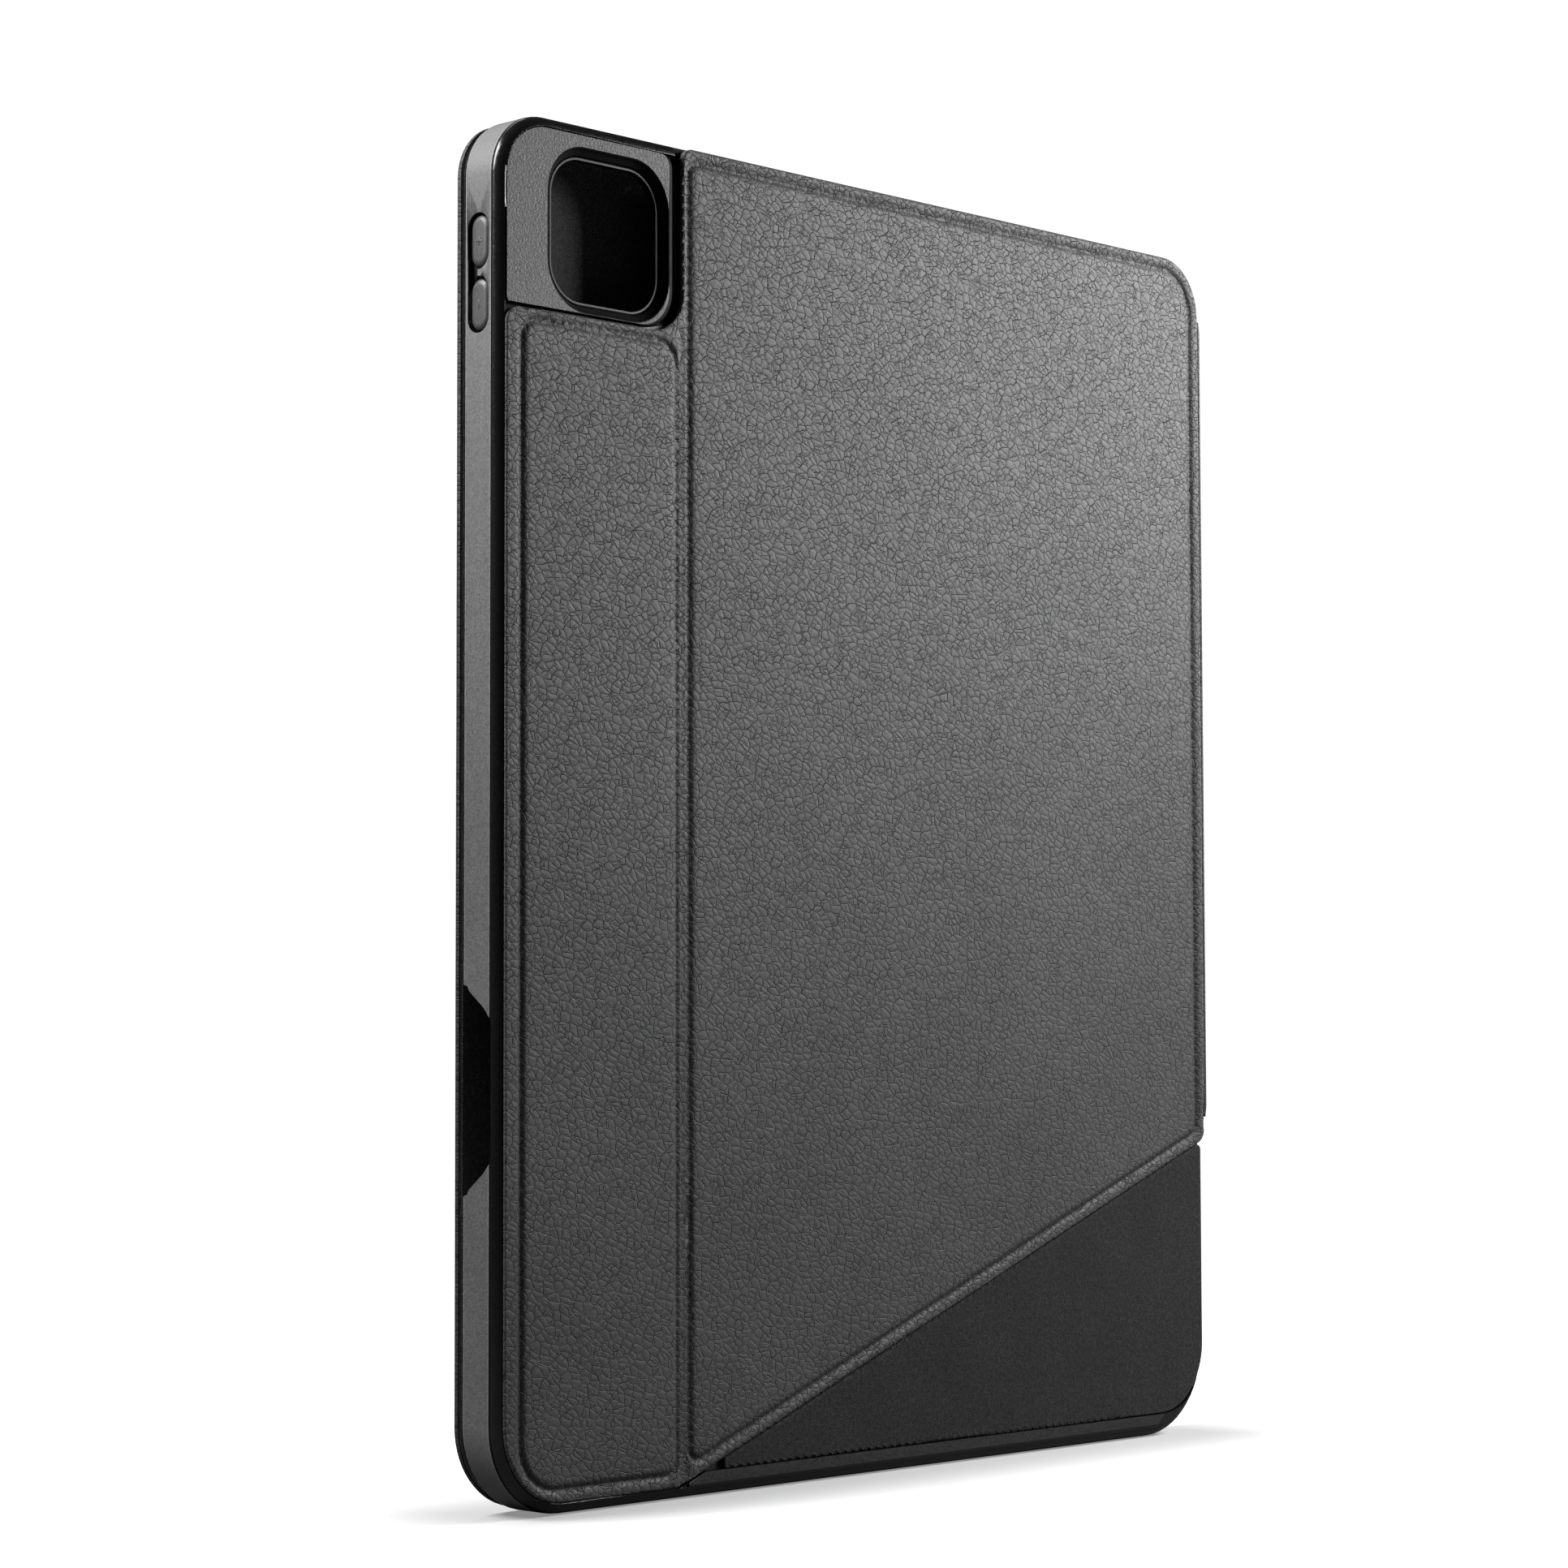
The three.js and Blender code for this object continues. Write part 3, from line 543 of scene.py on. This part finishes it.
def metal(name, base, rough, direction):
    """Plated metal with fine brushing."""
    k = Look(name, Metallic=1.0)
    at = k.place()
    lines = k.grains(k.add("ShaderNodeMapping", None, Vector=at, Scale=direction).outputs[0], 3000, 3)
    stain = k.grains(at, 260, 3)
    colour = k.mix(k.span(stain, 0.4, 0.7, 0, 1), (*base, 1), tuple(v * 0.72 for v in base) + (1,))
    polish = k.span(lines, 0.3, 0.7, rough - 0.07, rough + 0.07)
    return k.surface(colour, k.math("ADD", polish, k.span(stain, 0.4, 0.7, 0, 0.12)), lines, 0.25, 0.00005)


LEATHER = leather("pu_leather_charcoal", 0.068)
LEATHER_FRONT = leather("pu_leather_front", 0.030, seed=0.37)
LEATHER_SPINE = leather("pu_leather_spine", 0.056, seed=0.81)
WOVEN = cloth("woven_corner_cloth", 0.019, 0.7, 0.08)
MICRO = cloth("microfibre_lining", 0.030, 0.5, 0.45, 1.4)
RIBBON = cloth("fold_ribbon_cloth", 0.022, 0.8, 0.2)
# painted highlight lines where the side wall meets the back fillet and along the front edge
MATTE = plastic("textured_side_plastic", 0.115, 0.52, highlight_y=(BACK_Y + 2.75 - T / 2, TY1 - 0.3))
FIELD = plastic("textured_field_plastic", 0.056, 0.55, grain=1700, bump=0.9, size=0.00022, speck=0.5)
GLOSS = plastic("polished_edge_plastic", 0.008, 0.22, grain=1500, bump=0.1, size=0.00003, spread=0.05,
                speck=0.1)
# Near-black, dull plastic: the dark slope beside the camera field, and painted shade on the tray's pocket and
# step walls.
DARK_FALL_AND_SHADE = plastic("dark_fall_and_painted_shade_plastic", 0.006, 0.62, grain=1500, bump=0.12, size=0.00003, spread=0.05,
               speck=0.1, shine=0.06)
INNER = plastic("moulded_inner_plastic", 0.02, 0.5, grain=1800, bump=0.3)
CAP = plastic("button_cap_plastic", 0.05, 0.42, grain=3000, bump=0.3, size=0.00005)
RING = plastic("camera_ring_plastic", 0.006, 0.4, grain=2400, bump=0.2, size=0.00004, spread=0.08, shine=0.25)
BOARD = board("fibre_stiffener")
MAGNET = metal("nickel_magnet", (0.62, 0.60, 0.57), 0.28, (1, 1, 6))
STEEL = metal("zinc_keeper_steel", (0.50, 0.51, 0.53), 0.36, (6, 1, 1))

for node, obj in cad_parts.items():
    mat = (BOARD if node.endswith("board") else MAGNET if "magnet" in node else STEEL if "keeper" in node
           else RING if node == "camera_ring" else MATTE if node == "bumper_frame" else INNER)
    if not obj.material_slots:
        obj.data.materials.append(mat)
    for s in obj.material_slots:
        s.material = mat

# ------------------------------------------------------------------ camera, light and floor
AZ, EL, ROLL, LENS = -45.891, -3.473, -0.145, 85.83
SPOT = Vector((-0.614938, -0.570632, 0.101669))


def make_camera():
    a, e, r = (math.radians(v) for v in (AZ, EL, ROLL))
    zc = Vector((math.sin(a) * math.cos(e), -math.cos(a) * math.cos(e), math.sin(e)))
    xc = Vector((0, 0, 1)).cross(zc).normalized()
    yc = zc.cross(xc)
    x, y = xc * math.cos(r) + yc * math.sin(r), yc * math.cos(r) - xc * math.sin(r)
    cam = bpy.data.cameras.new("camera")
    cam.lens, cam.sensor_width, cam.clip_start = LENS, 36, 0.01
    ob = bpy.data.objects.new("camera", cam)
    m = Matrix((x, y, zc)).transposed().to_4x4()
    m.translation = SPOT
    ob.matrix_world = m
    bpy.context.scene.collection.objects.link(ob)
    bpy.context.scene.camera = ob


def softbox(name, at, towards, size, power, tall=None):
    light = bpy.data.lights.new(name, "AREA")
    light.shape, light.size, light.size_y, light.energy = "RECTANGLE", size, tall or size, power
    ob = bpy.data.objects.new(name, light)
    ob.location = at
    ob.rotation_euler = (Vector(towards) - Vector(at)).to_track_quat("-Z", "Y").to_euler()
    bpy.context.scene.collection.objects.link(ob)


FOOTPRINT = (0.108, 0.007, 0.0)     # half sizes of the case's foot, m, less its rounded corners
PAINTED_SHADOW_REACH = 0.05                  # m, how far from the foot the floor's glow is dimmed: a painted contact shadow


def make_stage():
    world = bpy.data.worlds.new("studio")
    bpy.context.scene.world = world
    world.use_nodes = True
    t = world.node_tree
    t.nodes.clear()
    out, mix, path = (t.nodes.new("ShaderNode" + k) for k in ("OutputWorld", "MixShader", "LightPath"))
    dim, bright = t.nodes.new("ShaderNodeBackground"), t.nodes.new("ShaderNodeBackground")
    dim.inputs[0].default_value = (0.03, 0.03, 0.031, 1)
    bright.inputs[0].default_value = (1.05, 1.05, 1.05, 1)
    t.links.new(path.outputs["Is Camera Ray"], mix.inputs[0])
    t.links.new(dim.outputs[0], mix.inputs[1])
    t.links.new(bright.outputs[0], mix.inputs[2])
    t.links.new(mix.outputs[0], out.inputs[0])
    me = bpy.data.meshes.new("floor")
    me.from_pydata([(-6, -6, 0), (6, -6, 0), (6, 6, 0), (-6, 6, 0)], [], [(0, 1, 2, 3)])
    floor = bpy.data.objects.new("floor", me)
    floor.location.z = LO[2] / 1000 - 0.0002
    bpy.context.scene.collection.objects.link(floor)
    k = Look("floor_paper", Roughness=0.9)
    tone = k.span(k.grains(k.place(), 40, 3), 0.3, 0.7, 0.985, 1.0)
    foot = k.add("ShaderNodeVectorMath", {"operation": "ABSOLUTE"}, i0=k.place()).outputs[0]
    foot = k.vmath("SUBTRACT", foot, FOOTPRINT)
    foot = k.vmath("MAXIMUM", foot, (0, 0, 0))
    away_from = k.add("ShaderNodeVectorMath", {"operation": "LENGTH"}, i0=foot).outputs["Value"]
    k.b.inputs["Emission Color"].default_value = (1, 1, 1, 1)
    seen = k.add("ShaderNodeLightPath").outputs["Is Camera Ray"]
    k.surface(k.mix(k.math("MULTIPLY", tone, seen), (0.10, 0.10, 0.10, 1), (0.45, 0.45, 0.45, 1)))
    # the floor glows for camera rays; near the foot the glow is dimmed, a painted contact shadow
    glow_and_painted_shadow = k.math("MULTIPLY", k.span(away_from, 0.0, PAINTED_SHADOW_REACH, 0.25, 1.05), seen)
    k.t.links.new(glow_and_painted_shadow, k.b.inputs["Emission Strength"])
    me.materials.append(k.mat)
    softbox("key_right", (0.42, -0.26, 0.38), (0.03, 0, 0.15), 0.26, 5.0)
    softbox("side_left", (-0.42, 0.17, 0.52), (-0.115, 0, 0.22), 0.22, 4.6, 0.3)
    softbox("top_back", (0.0, 0.9, 1.1), (0, 0, 0.1), 0.9, 4.0)
    bpy.context.scene.view_settings.view_transform = "Standard"


make_camera()
make_stage()

# ------------------------------------------------------------------ leather back: strip and kickstand
RIDGE, VALLEY = CREASE - 1.7, CREASE + 1.8          # edge of the strip's board, groove of the flap
xi = CX0 + (SZ0 - CZ0 - TIP) / SLOPE                # where the slanted edge meets the strip's bottom
edge_x = PX0 - 0.05                                 # the flap's free side meets the spine
back_poly = [(SX0, SZ0), (xi, SZ0), (edge_x, diag(edge_x)), (edge_x, FZ1), (FX0, FZ1), (FX0, SZ1),
             (SX0, SZ1)]
back_radii = [16.2, 6.0, 3.5, 13.2, 3.0, -HORN, 3.5]
strip_groove = rect(SX0 + 4.3, RIDGE, SZ0 + 2.7, SZ1 - 2.3)
strip_radii = [10.0, 3.5, 5.0, 4.0]
GROOVE_IN = 2.9                                     # groove's distance from the flap's sides
gx1, gz1 = FX1 - GROOVE_IN, FZ1 - GROOVE_IN
rise = 2.8 * math.hypot(1, SLOPE)
flap_groove = [(VALLEY, diag(VALLEY) + rise), (gx1, diag(gx1) + rise), (gx1, gz1), (VALLEY, gz1)]
flap_radii = [2.5, 3.0, 10.5, 3.0]


def back_depth(x, z, e):
    """Pressed grooves round both boards, a low valley at the crease, and slight unevenness."""
    p = np.column_stack([x, z])
    g1 = away(p, rounded(strip_groove, strip_radii))
    g2 = away(p, rounded(flap_groove, flap_radii))
    inner = np.maximum(g1, g2)
    y = 0.10 * np.exp(-np.clip(inner, 0, None) / 5.0)
    y += 0.58 * np.maximum(np.exp(-(g1 / 0.78) ** 2), np.exp(-(g2 / 0.82) ** 2))
    low = 1 / (1 + np.exp(-(x - RIDGE - 0.5) / 0.22)) / (1 + np.exp((x - VALLEY + 0.3) / 0.3))
    low *= smoothstep((SZ1 + 3 - z) / 4)
    y = np.maximum(y, 0.55 * low)
    return np.minimum(y + 0.03 * ripple(x, z, 26) + 0.04, 0.75)


def back_edge(x, z):
    """Radius of the turned edge, tight where the flap meets the spine."""
    beside = smoothstep((x - edge_x + 2.5) / 1.0) * smoothstep((z - PZ0 - 1) / 4)
    return 0.45 - 0.37 * beside * smoothstep((PZ1 + 2 - z) / 6)


def back_skirt(x, z):
    """How deep the edge goes: shallow on the fixed strip, the flap's whole depth past the crease."""
    return 0.7 + (fy1 + T / 2 - 0.7) * float(smoothstep((x - CREASE + 1.5) / 2.5))


back = skin("leather_back", back_poly, back_radii, back_depth, back_skirt, [LEATHER], under=0.72,
            grooves=[(strip_groove, strip_radii), (flap_groove, flap_radii)],
            lines=[CREASE + d for d in (-3, -2.3, -1.6, -1, -.5, 0, .5, 1, 1.6, 2.3, 3)], turned=(1.2, 1.3),
            edge=back_edge)
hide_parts("strip_leather", "flap_leather")
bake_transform(back)

# ------------------------------------------------------------------ woven corner
corner_poly = [(CX0, CZ0), (CX1, CZ0), (CX1, diag(CX1) - CORNER_GAP), (CX0, diag(CX0) - CORNER_GAP)]
cloth_y = cy0 + T / 2
cloth_under = cloth_y + 0.48
corner = skin("corner_cloth", corner_poly, [0.6, 16.0, 1.2, 0.8],
              lambda x, z, e: cloth_y + 0.03 * ripple(x, z, 14, 3.1),
              lambda x, z: cloth_under, [WOVEN], under=cloth_under, edge=0.25,
              turned=(0.3, 0.5), edge_wear_and_highlight=0.8)
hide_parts("corner_fabric")
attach(corner, "tray")

# ------------------------------------------------------------------ front cover
cover_poly = rect(VX0, VX1, VZ0, VZ1)
cover_radii = [17.5, 9, 9, 12.5]
cover_groove = inset(cover_poly, 3.2)
cover_groove_radii = [14.3, 5.8, 5.8, 9.3]


def cover_depth(x, z, e):
    g = away(np.column_stack([x, z]), rounded(cover_groove, cover_groove_radii))
    return (0.12 * np.exp(-np.clip(g, 0, None) / 6.0) + 0.5 * np.exp(-(g / 0.9) ** 2)
            + 0.03 * ripple(x, z, 30, 7.7) + 0.04)


cover = skin("leather_cover", cover_poly, cover_radii, cover_depth, lambda x, z: 1.45, [LEATHER_FRONT],
             under=0.72, grooves=[(cover_groove, cover_groove_radii)], facing=1, turned=(0.3, 0.36),
             edge_wear_and_highlight=0.0)
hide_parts("cover_leather")
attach(cover, "front_cover")


# ------------------------------------------------------------------ linings
def lining(name, node, body, radii, facing, hole=None, poly=None):
    """A thin microfibre lining in place of its plain node."""
    (x0, y0, z0), (x1, y1, z1) = box(node)
    near = (y0 if facing < 0 else -y1) + T / 2
    thick = y1 - y0
    shape = poly or rect(x0, x1, z0, z1)
    ob = skin(name, shape, radii, lambda x, z, e: near + 0.02 + 0.018 * ripple(x, z, 9, 1.3 * len(name)),
              lambda x, z: near + thick, [MICRO], under=near + thick, edge=0.12, turned=(0.2, 0.4),
              facing=facing, hole=hole, rims=(0, .06, .14, .4, 1.2), grid=4.0, edge_wear_and_highlight=0.3)
    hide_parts(node)
    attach(ob, body)


(rx0, _, rz0), (rx1, _, rz1) = box("camera_ring")
camera_hole = rounded(inset(rect(rx0, rx1, rz0, rz1), -0.3), [9.1] * 4)
lining("tray_lining_cloth", "tray_lining", "tray", [15.5, 17.5, 10.5, 10.5], 1,
       hole=camera_hole)
hem = box("flap_lining")[0][0] - FX0
flap_shape = inset([(FX0, diag(FX0)), (FX1, diag(FX1)), (FX1, FZ1), (FX0, FZ1)], hem)
lining("flap_lining_cloth", "flap_lining", "kickstand", shrink([1.2, 3.5, 13.0, 3.0], hem), 1,
       poly=flap_shape)
lining("cover_lining_cloth", "cover_lining", "front_cover", [16.8, 8.3, 8.3, 11.8], -1)


# ------------------------------------------------------------------ spine
def bent(name, path, z0, z1, thick, mats, corner=0.0, step=2.5):
    """A strip whose cross-section follows path, points (x, depth), with a wall of the given thickness."""
    pts = np.asarray(path, float)
    d = np.gradient(pts, axis=0)
    d /= np.hypot(*d.T)[:, None]
    normal = np.column_stack([d[:, 1], -d[:, 0]])
    along = np.concatenate([[0], np.cumsum(np.hypot(*np.diff(pts, axis=0).T))])
    rows, cols = max(int((z1 - z0) / step), 2), len(pts)
    verts, rest, wear_and_painted_light, faces = [], [], [], []
    for side in (0, 1):
        for j in range(rows + 1):
            for i in range(cols):
                end = min(along[i], along[-1] - along[i])
                cut = corner - math.sqrt(max(corner ** 2 - max(corner - end, 0) ** 2, 0)) if corner else 0
                lo, hi = z0 + cut, z1 - cut
                z = lo + (hi - lo) * j / rows
                rim = min(end, z - lo, hi - z)
                soft = 0.25 * max(0, 1 - rim / 0.3) ** 2
                p = pts[i] - normal[i] * (thick - soft if side else soft)
                verts.append((p[0], p[1], z))
                rest.append((along[i], z, side * thick))
                # lighter along the edges: edge wear and a painted highlight
                wear_and_painted_light.append(max(0, 1 - rim / 0.6) * 0.8)
    n = (rows + 1) * cols
    for j in range(rows):
        for i in range(cols - 1):
            a = j * cols + i
            faces.append((a, a + 1, a + cols + 1, a + cols))
            faces.append((n + a, n + a + cols, n + a + cols + 1, n + a + 1))
    loop = (list(range(cols)) + [j * cols + cols - 1 for j in range(1, rows + 1)]
            + [rows * cols + i for i in range(cols - 2, -1, -1)] + [j * cols for j in range(rows - 1, 0, -1)])
    for k in range(len(loop)):
        a, b = loop[k], loop[(k + 1) % len(loop)]
        faces.append((a, b, n + b, n + a))
    ob = add_object(name, verts, faces, rest, wear_and_painted_light, mats)
    ob["outline_area"] = along[-1] * (z1 - z0) / 1e6
    ob["outline_width"] = along[-1] / 1000
    return ob


def arc(cx, cy, r, a0, a1, n):
    """Points on an arc from a0 to a1 degrees."""
    return [(cx + r * math.cos(math.radians(a0 + (a1 - a0) * k / n)),
             cy + r * math.sin(math.radians(a0 + (a1 - a0) * k / n))) for k in range(n + 1)]


xo, r = PX1, 1.5
ya, yb = py0 + T / 2, py1 + T / 2
spine_path = ([(PX0, ya)] + arc(xo - r, ya + r, r, -90, 0, 10)
              + [(xo, ya + r + (yb - ya - 2 * r) * k / 10) for k in range(1, 10)]
              + arc(xo - r, yb - r, r, 0, 90, 10) + [(PX0 - 0.2, yb)])
spine = bent("leather_spine", spine_path, PZ0, PZ1, 0.65, [LEATHER_SPINE], corner=1.4)
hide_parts("spine_leather")
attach(spine, "spine")

(ix0, iy0, iz0), (ix1, iy1, iz1) = box("spine_lining")
inner_path = [(ix0 + (ix1 - ix0), iy0 + T / 2 + (iy1 - iy0) * k / 12) for k in range(13)]
inner = bent("spine_lining_cloth", inner_path, iz0, iz1, ix1 - ix0, [MICRO], corner=1.0)
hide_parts("spine_lining")
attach(inner, "spine")


def curve(points, n=14):
    """Smooth run through a few points."""
    p = np.asarray([points[0]] + list(points) + [points[-1]], float)
    out = []
    for k in range(1, len(p) - 2):
        for t in np.linspace(0, 1, n, endpoint=False):
            a, b, c, d = p[k - 1], p[k], p[k + 1], p[k + 2]
            out.append(0.5 * (2 * b + (c - a) * t + (2 * a - 5 * b + 4 * c - d) * t ** 2
                              + (3 * b - a - 3 * c + d) * t ** 3))
    return np.array(out + [p[-1]])


def ribbon(name, points):
    """A fold of cloth whose section runs through the given points, in the gap between two bodies; it is
    attached to neither.
    """
    ob = bent(name, curve(points), PZ0 + 3, PZ1 - 3, 0.25, [RIBBON])
    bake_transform(ob)


wall_x = TX1
rear_run = [(wall_x + 0.02, 8.0), (wall_x + 0.02, 3.0), (wall_x + 0.12, 1.7), (wall_x + 0.6, 1.05),
            (xo - 0.95, 1.5), (xo - 0.75, 2.6), (xo - 0.75, 6.0)]
ribbon("rear_fold_ribbon", rear_run)
front_run = [(xo - 0.75, T - 6.5), (xo - 0.75, T - 3.2), (xo - 0.85, T - 1.9), (xo - 1.3, T - 1.1),
             (wall_x - 0.2, T - 1.0), (wall_x - 5.0, T - 1.0)]
ribbon("front_fold_ribbon", front_run)


# ------------------------------------------------------------------ moulded tray
def finer(name, node, pick, mats):
    """The moulded piece with smooth curved faces, and its finish chosen face by face."""
    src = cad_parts[node].data
    bm = bmesh.new()
    bm.from_mesh(src)
    bmesh.ops.remove_doubles(bm, verts=bm.verts, dist=1e-6)
    bmesh.ops.dissolve_limit(bm, angle_limit=math.radians(0.4), verts=bm.verts, edges=bm.edges)
    bmesh.ops.triangulate(bm, faces=bm.faces)
    bm.normal_update()
    me = bpy.data.meshes.new(name)
    for f in bm.faces:
        f.material_index = pick(f.calc_center_median() * 1000, f.normal)
        f.smooth = True
    bm.to_mesh(me)
    bm.free()
    for m in mats:
        me.materials.append(m)
    me.set_sharp_from_angle(angle=math.radians(24))
    ob = bpy.data.objects.new(name, me)
    bpy.context.scene.collection.objects.link(ob)
    weighted = ob.modifiers.new("weighted", "WEIGHTED_NORMAL")
    weighted.keep_sharp = True
    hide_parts(node)
    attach(ob, "tray")


WALL = 2.7              # depth of the rim's outside skin, seen from its sides
KEY_DEPTHS = (3.4, 10.6)            # y of the pockets round the volume keys


def frame_finish(c, n):
    """0 the sanded sides, 1 the polished edge, 2 the plain inside, 3 the walls of pockets and steps, made
    near-black and dull as painted shade.
    """
    y = c.y + T / 2
    if n.y < -0.97 and y > BACK_Y + 0.1 or y < BACK_Y + 2.5 and abs(n.y) < 0.2:
        return 3
    by_keys = SZ1 - 8 < c.z < H - 18
    # painted shade: the walls of the pockets round the volume keys are made near-black
    if TX0 + 0.02 < c.x < TX0 + 2.6 and KEY_DEPTHS[0] < y < KEY_DEPTHS[1] and by_keys:
        return 3
    side = c.x < TX0 + WALL or c.x > TX1 - WALL or c.z < TZ0 + WALL or c.z > TZ1 - WALL
    at_corner = abs(c.x - (TX0 + TX1) / 2) > 97 and (c.z < 20 or c.z > H - 20)
    if not (side or at_corner):
        return 2
    if y < BACK_Y + 2.6:
        return 1
    return 0 if y < TY1 + T / 2 + 1 else 2


def plate_finish(c, n):
    """0 the sanded field, 1 the dark walls beside it, 2 the plain inside."""
    y = c.y + T / 2
    if y < BACK_Y + 0.02 and n.y < -0.95:
        return 0
    return 1 if y < 3.2 and c.z > SZ1 - 6 else 2


finer("tray_frame", "bumper_frame", frame_finish, [MATTE, GLOSS, INNER, DARK_FALL_AND_SHADE])
finer("tray_back", "back_plate", plate_finish, [FIELD, DARK_FALL_AND_SHADE, INNER])


# ------------------------------------------------------------------ buttons
def pill(cy, cz, w, l, n=14):
    """Long round-ended outline in the Y-Z plane."""
    r = w / 2
    turn = [math.pi * k / n for k in range(n + 1)]
    up = [(cy + r * math.cos(a), cz + l / 2 - r + r * math.sin(a)) for a in turn]
    down = [(cy - r * math.cos(a), cz - l / 2 + r - r * math.sin(a)) for a in turn]
    return up + down


def stack(rings, place):
    """Closed skin over rings of equal count; place(level, p, q) gives a point."""
    verts = [place(level, *p) for level, loop in rings for p in loop]
    n, faces = len(rings[0][1]), []
    for k in range(len(rings) - 1):
        for i in range(n):
            j = (i + 1) % n
            faces.append((k * n + i, k * n + j, (k + 1) * n + j, (k + 1) * n + i))
    faces.append(tuple(range(n - 1, -1, -1)))
    faces.append(tuple(range((len(rings) - 1) * n, len(rings) * n)))
    return verts, faces


def join(parts):
    """Several closed skins in one list of points and one of faces."""
    verts, faces = [], []
    for v, f in parts:
        k = len(verts)
        verts += v
        faces += [tuple(i + k for i in face) for face in f]
    return verts, faces


def bar(x0, x1, cy, cz, hy, hz):
    """Small raised mark with a softened top."""
    def ring(d):
        a, b = hy - d, hz - d
        return [(cy - a, cz - b), (cy + a, cz - b), (cy + a, cz + b), (cy - a, cz + b)]
    return stack([(x1, ring(0)), (x0 + 0.04, ring(0)), (x0, ring(0.05))], sideways)


def sideways(level, p, q):
    return (level, p, q)


# depth under a cap's top, and how far its outline is drawn in there
CROWN = [(0.0, 1.30), (0.01, 1.02), (0.05, 0.74), (0.14, 0.52), (0.30, 0.26), (0.46, 0.06), (0.6, 0.0),
         (1.25, 0.0)]


def volume_cap(node, body, name, plus):
    """A crowned key on its stem, with a raised minus or plus mark."""
    (x0, y0, z0), (x1, y1, z1) = box(node)
    cy, cz, w, l = (y0 + y1) / 2 + T / 2, (z0 + z1) / 2, y1 - y0, z1 - z0
    cap = stack([(x0 + a, pill(cy, cz, w - 2 * b, l - 2 * b)) for a, b in CROWN], sideways)
    stem = stack([(x, pill(cy, cz, 2.8, l - 3)) for x in (x0 + 1.1, x1)], sideways)
    mark_x = (x0 - 0.06, x0 + 0.1)
    marks = [bar(*mark_x, cy, cz, 0.16, 1.0)]
    if plus:
        marks.append(bar(*mark_x, cy, cz, 1.0, 0.16))
    verts, faces = join([cap, stem] + marks)
    ob = add_object(name, verts, faces, [(v[1], v[2], v[0]) for v in verts], [0.0] * len(verts), [CAP])
    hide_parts(node)
    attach(ob, body)


volume_cap("volume_up_button", "volume_up", "volume_up_cap", True)
volume_cap("volume_down_button", "volume_down", "volume_down_cap", False)

(bx0, by0, bz0), (bx1, by1, bz1) = box("power_button")
bcx, bcy = (bx0 + bx1) / 2, (by0 + by1) / 2 + T / 2
top_crown = [(0.0, 1.2), (0.02, 0.9), (0.08, 0.6), (0.2, 0.38), (0.45, 0.2), (0.6, 0.0), (bz1 - bz0, 0.0)]
rings = [(bz1 - a, pill(bcy, bcx, by1 - by0 - 2 * b, bx1 - bx0 - 2 * b)) for a, b in top_crown]
verts, faces = stack(rings, lambda v, p, q: (q, p, v))
power = add_object("power_cap", verts, faces, verts, [0.0] * len(verts), [CAP])
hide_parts("power_button")
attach(power, "power")
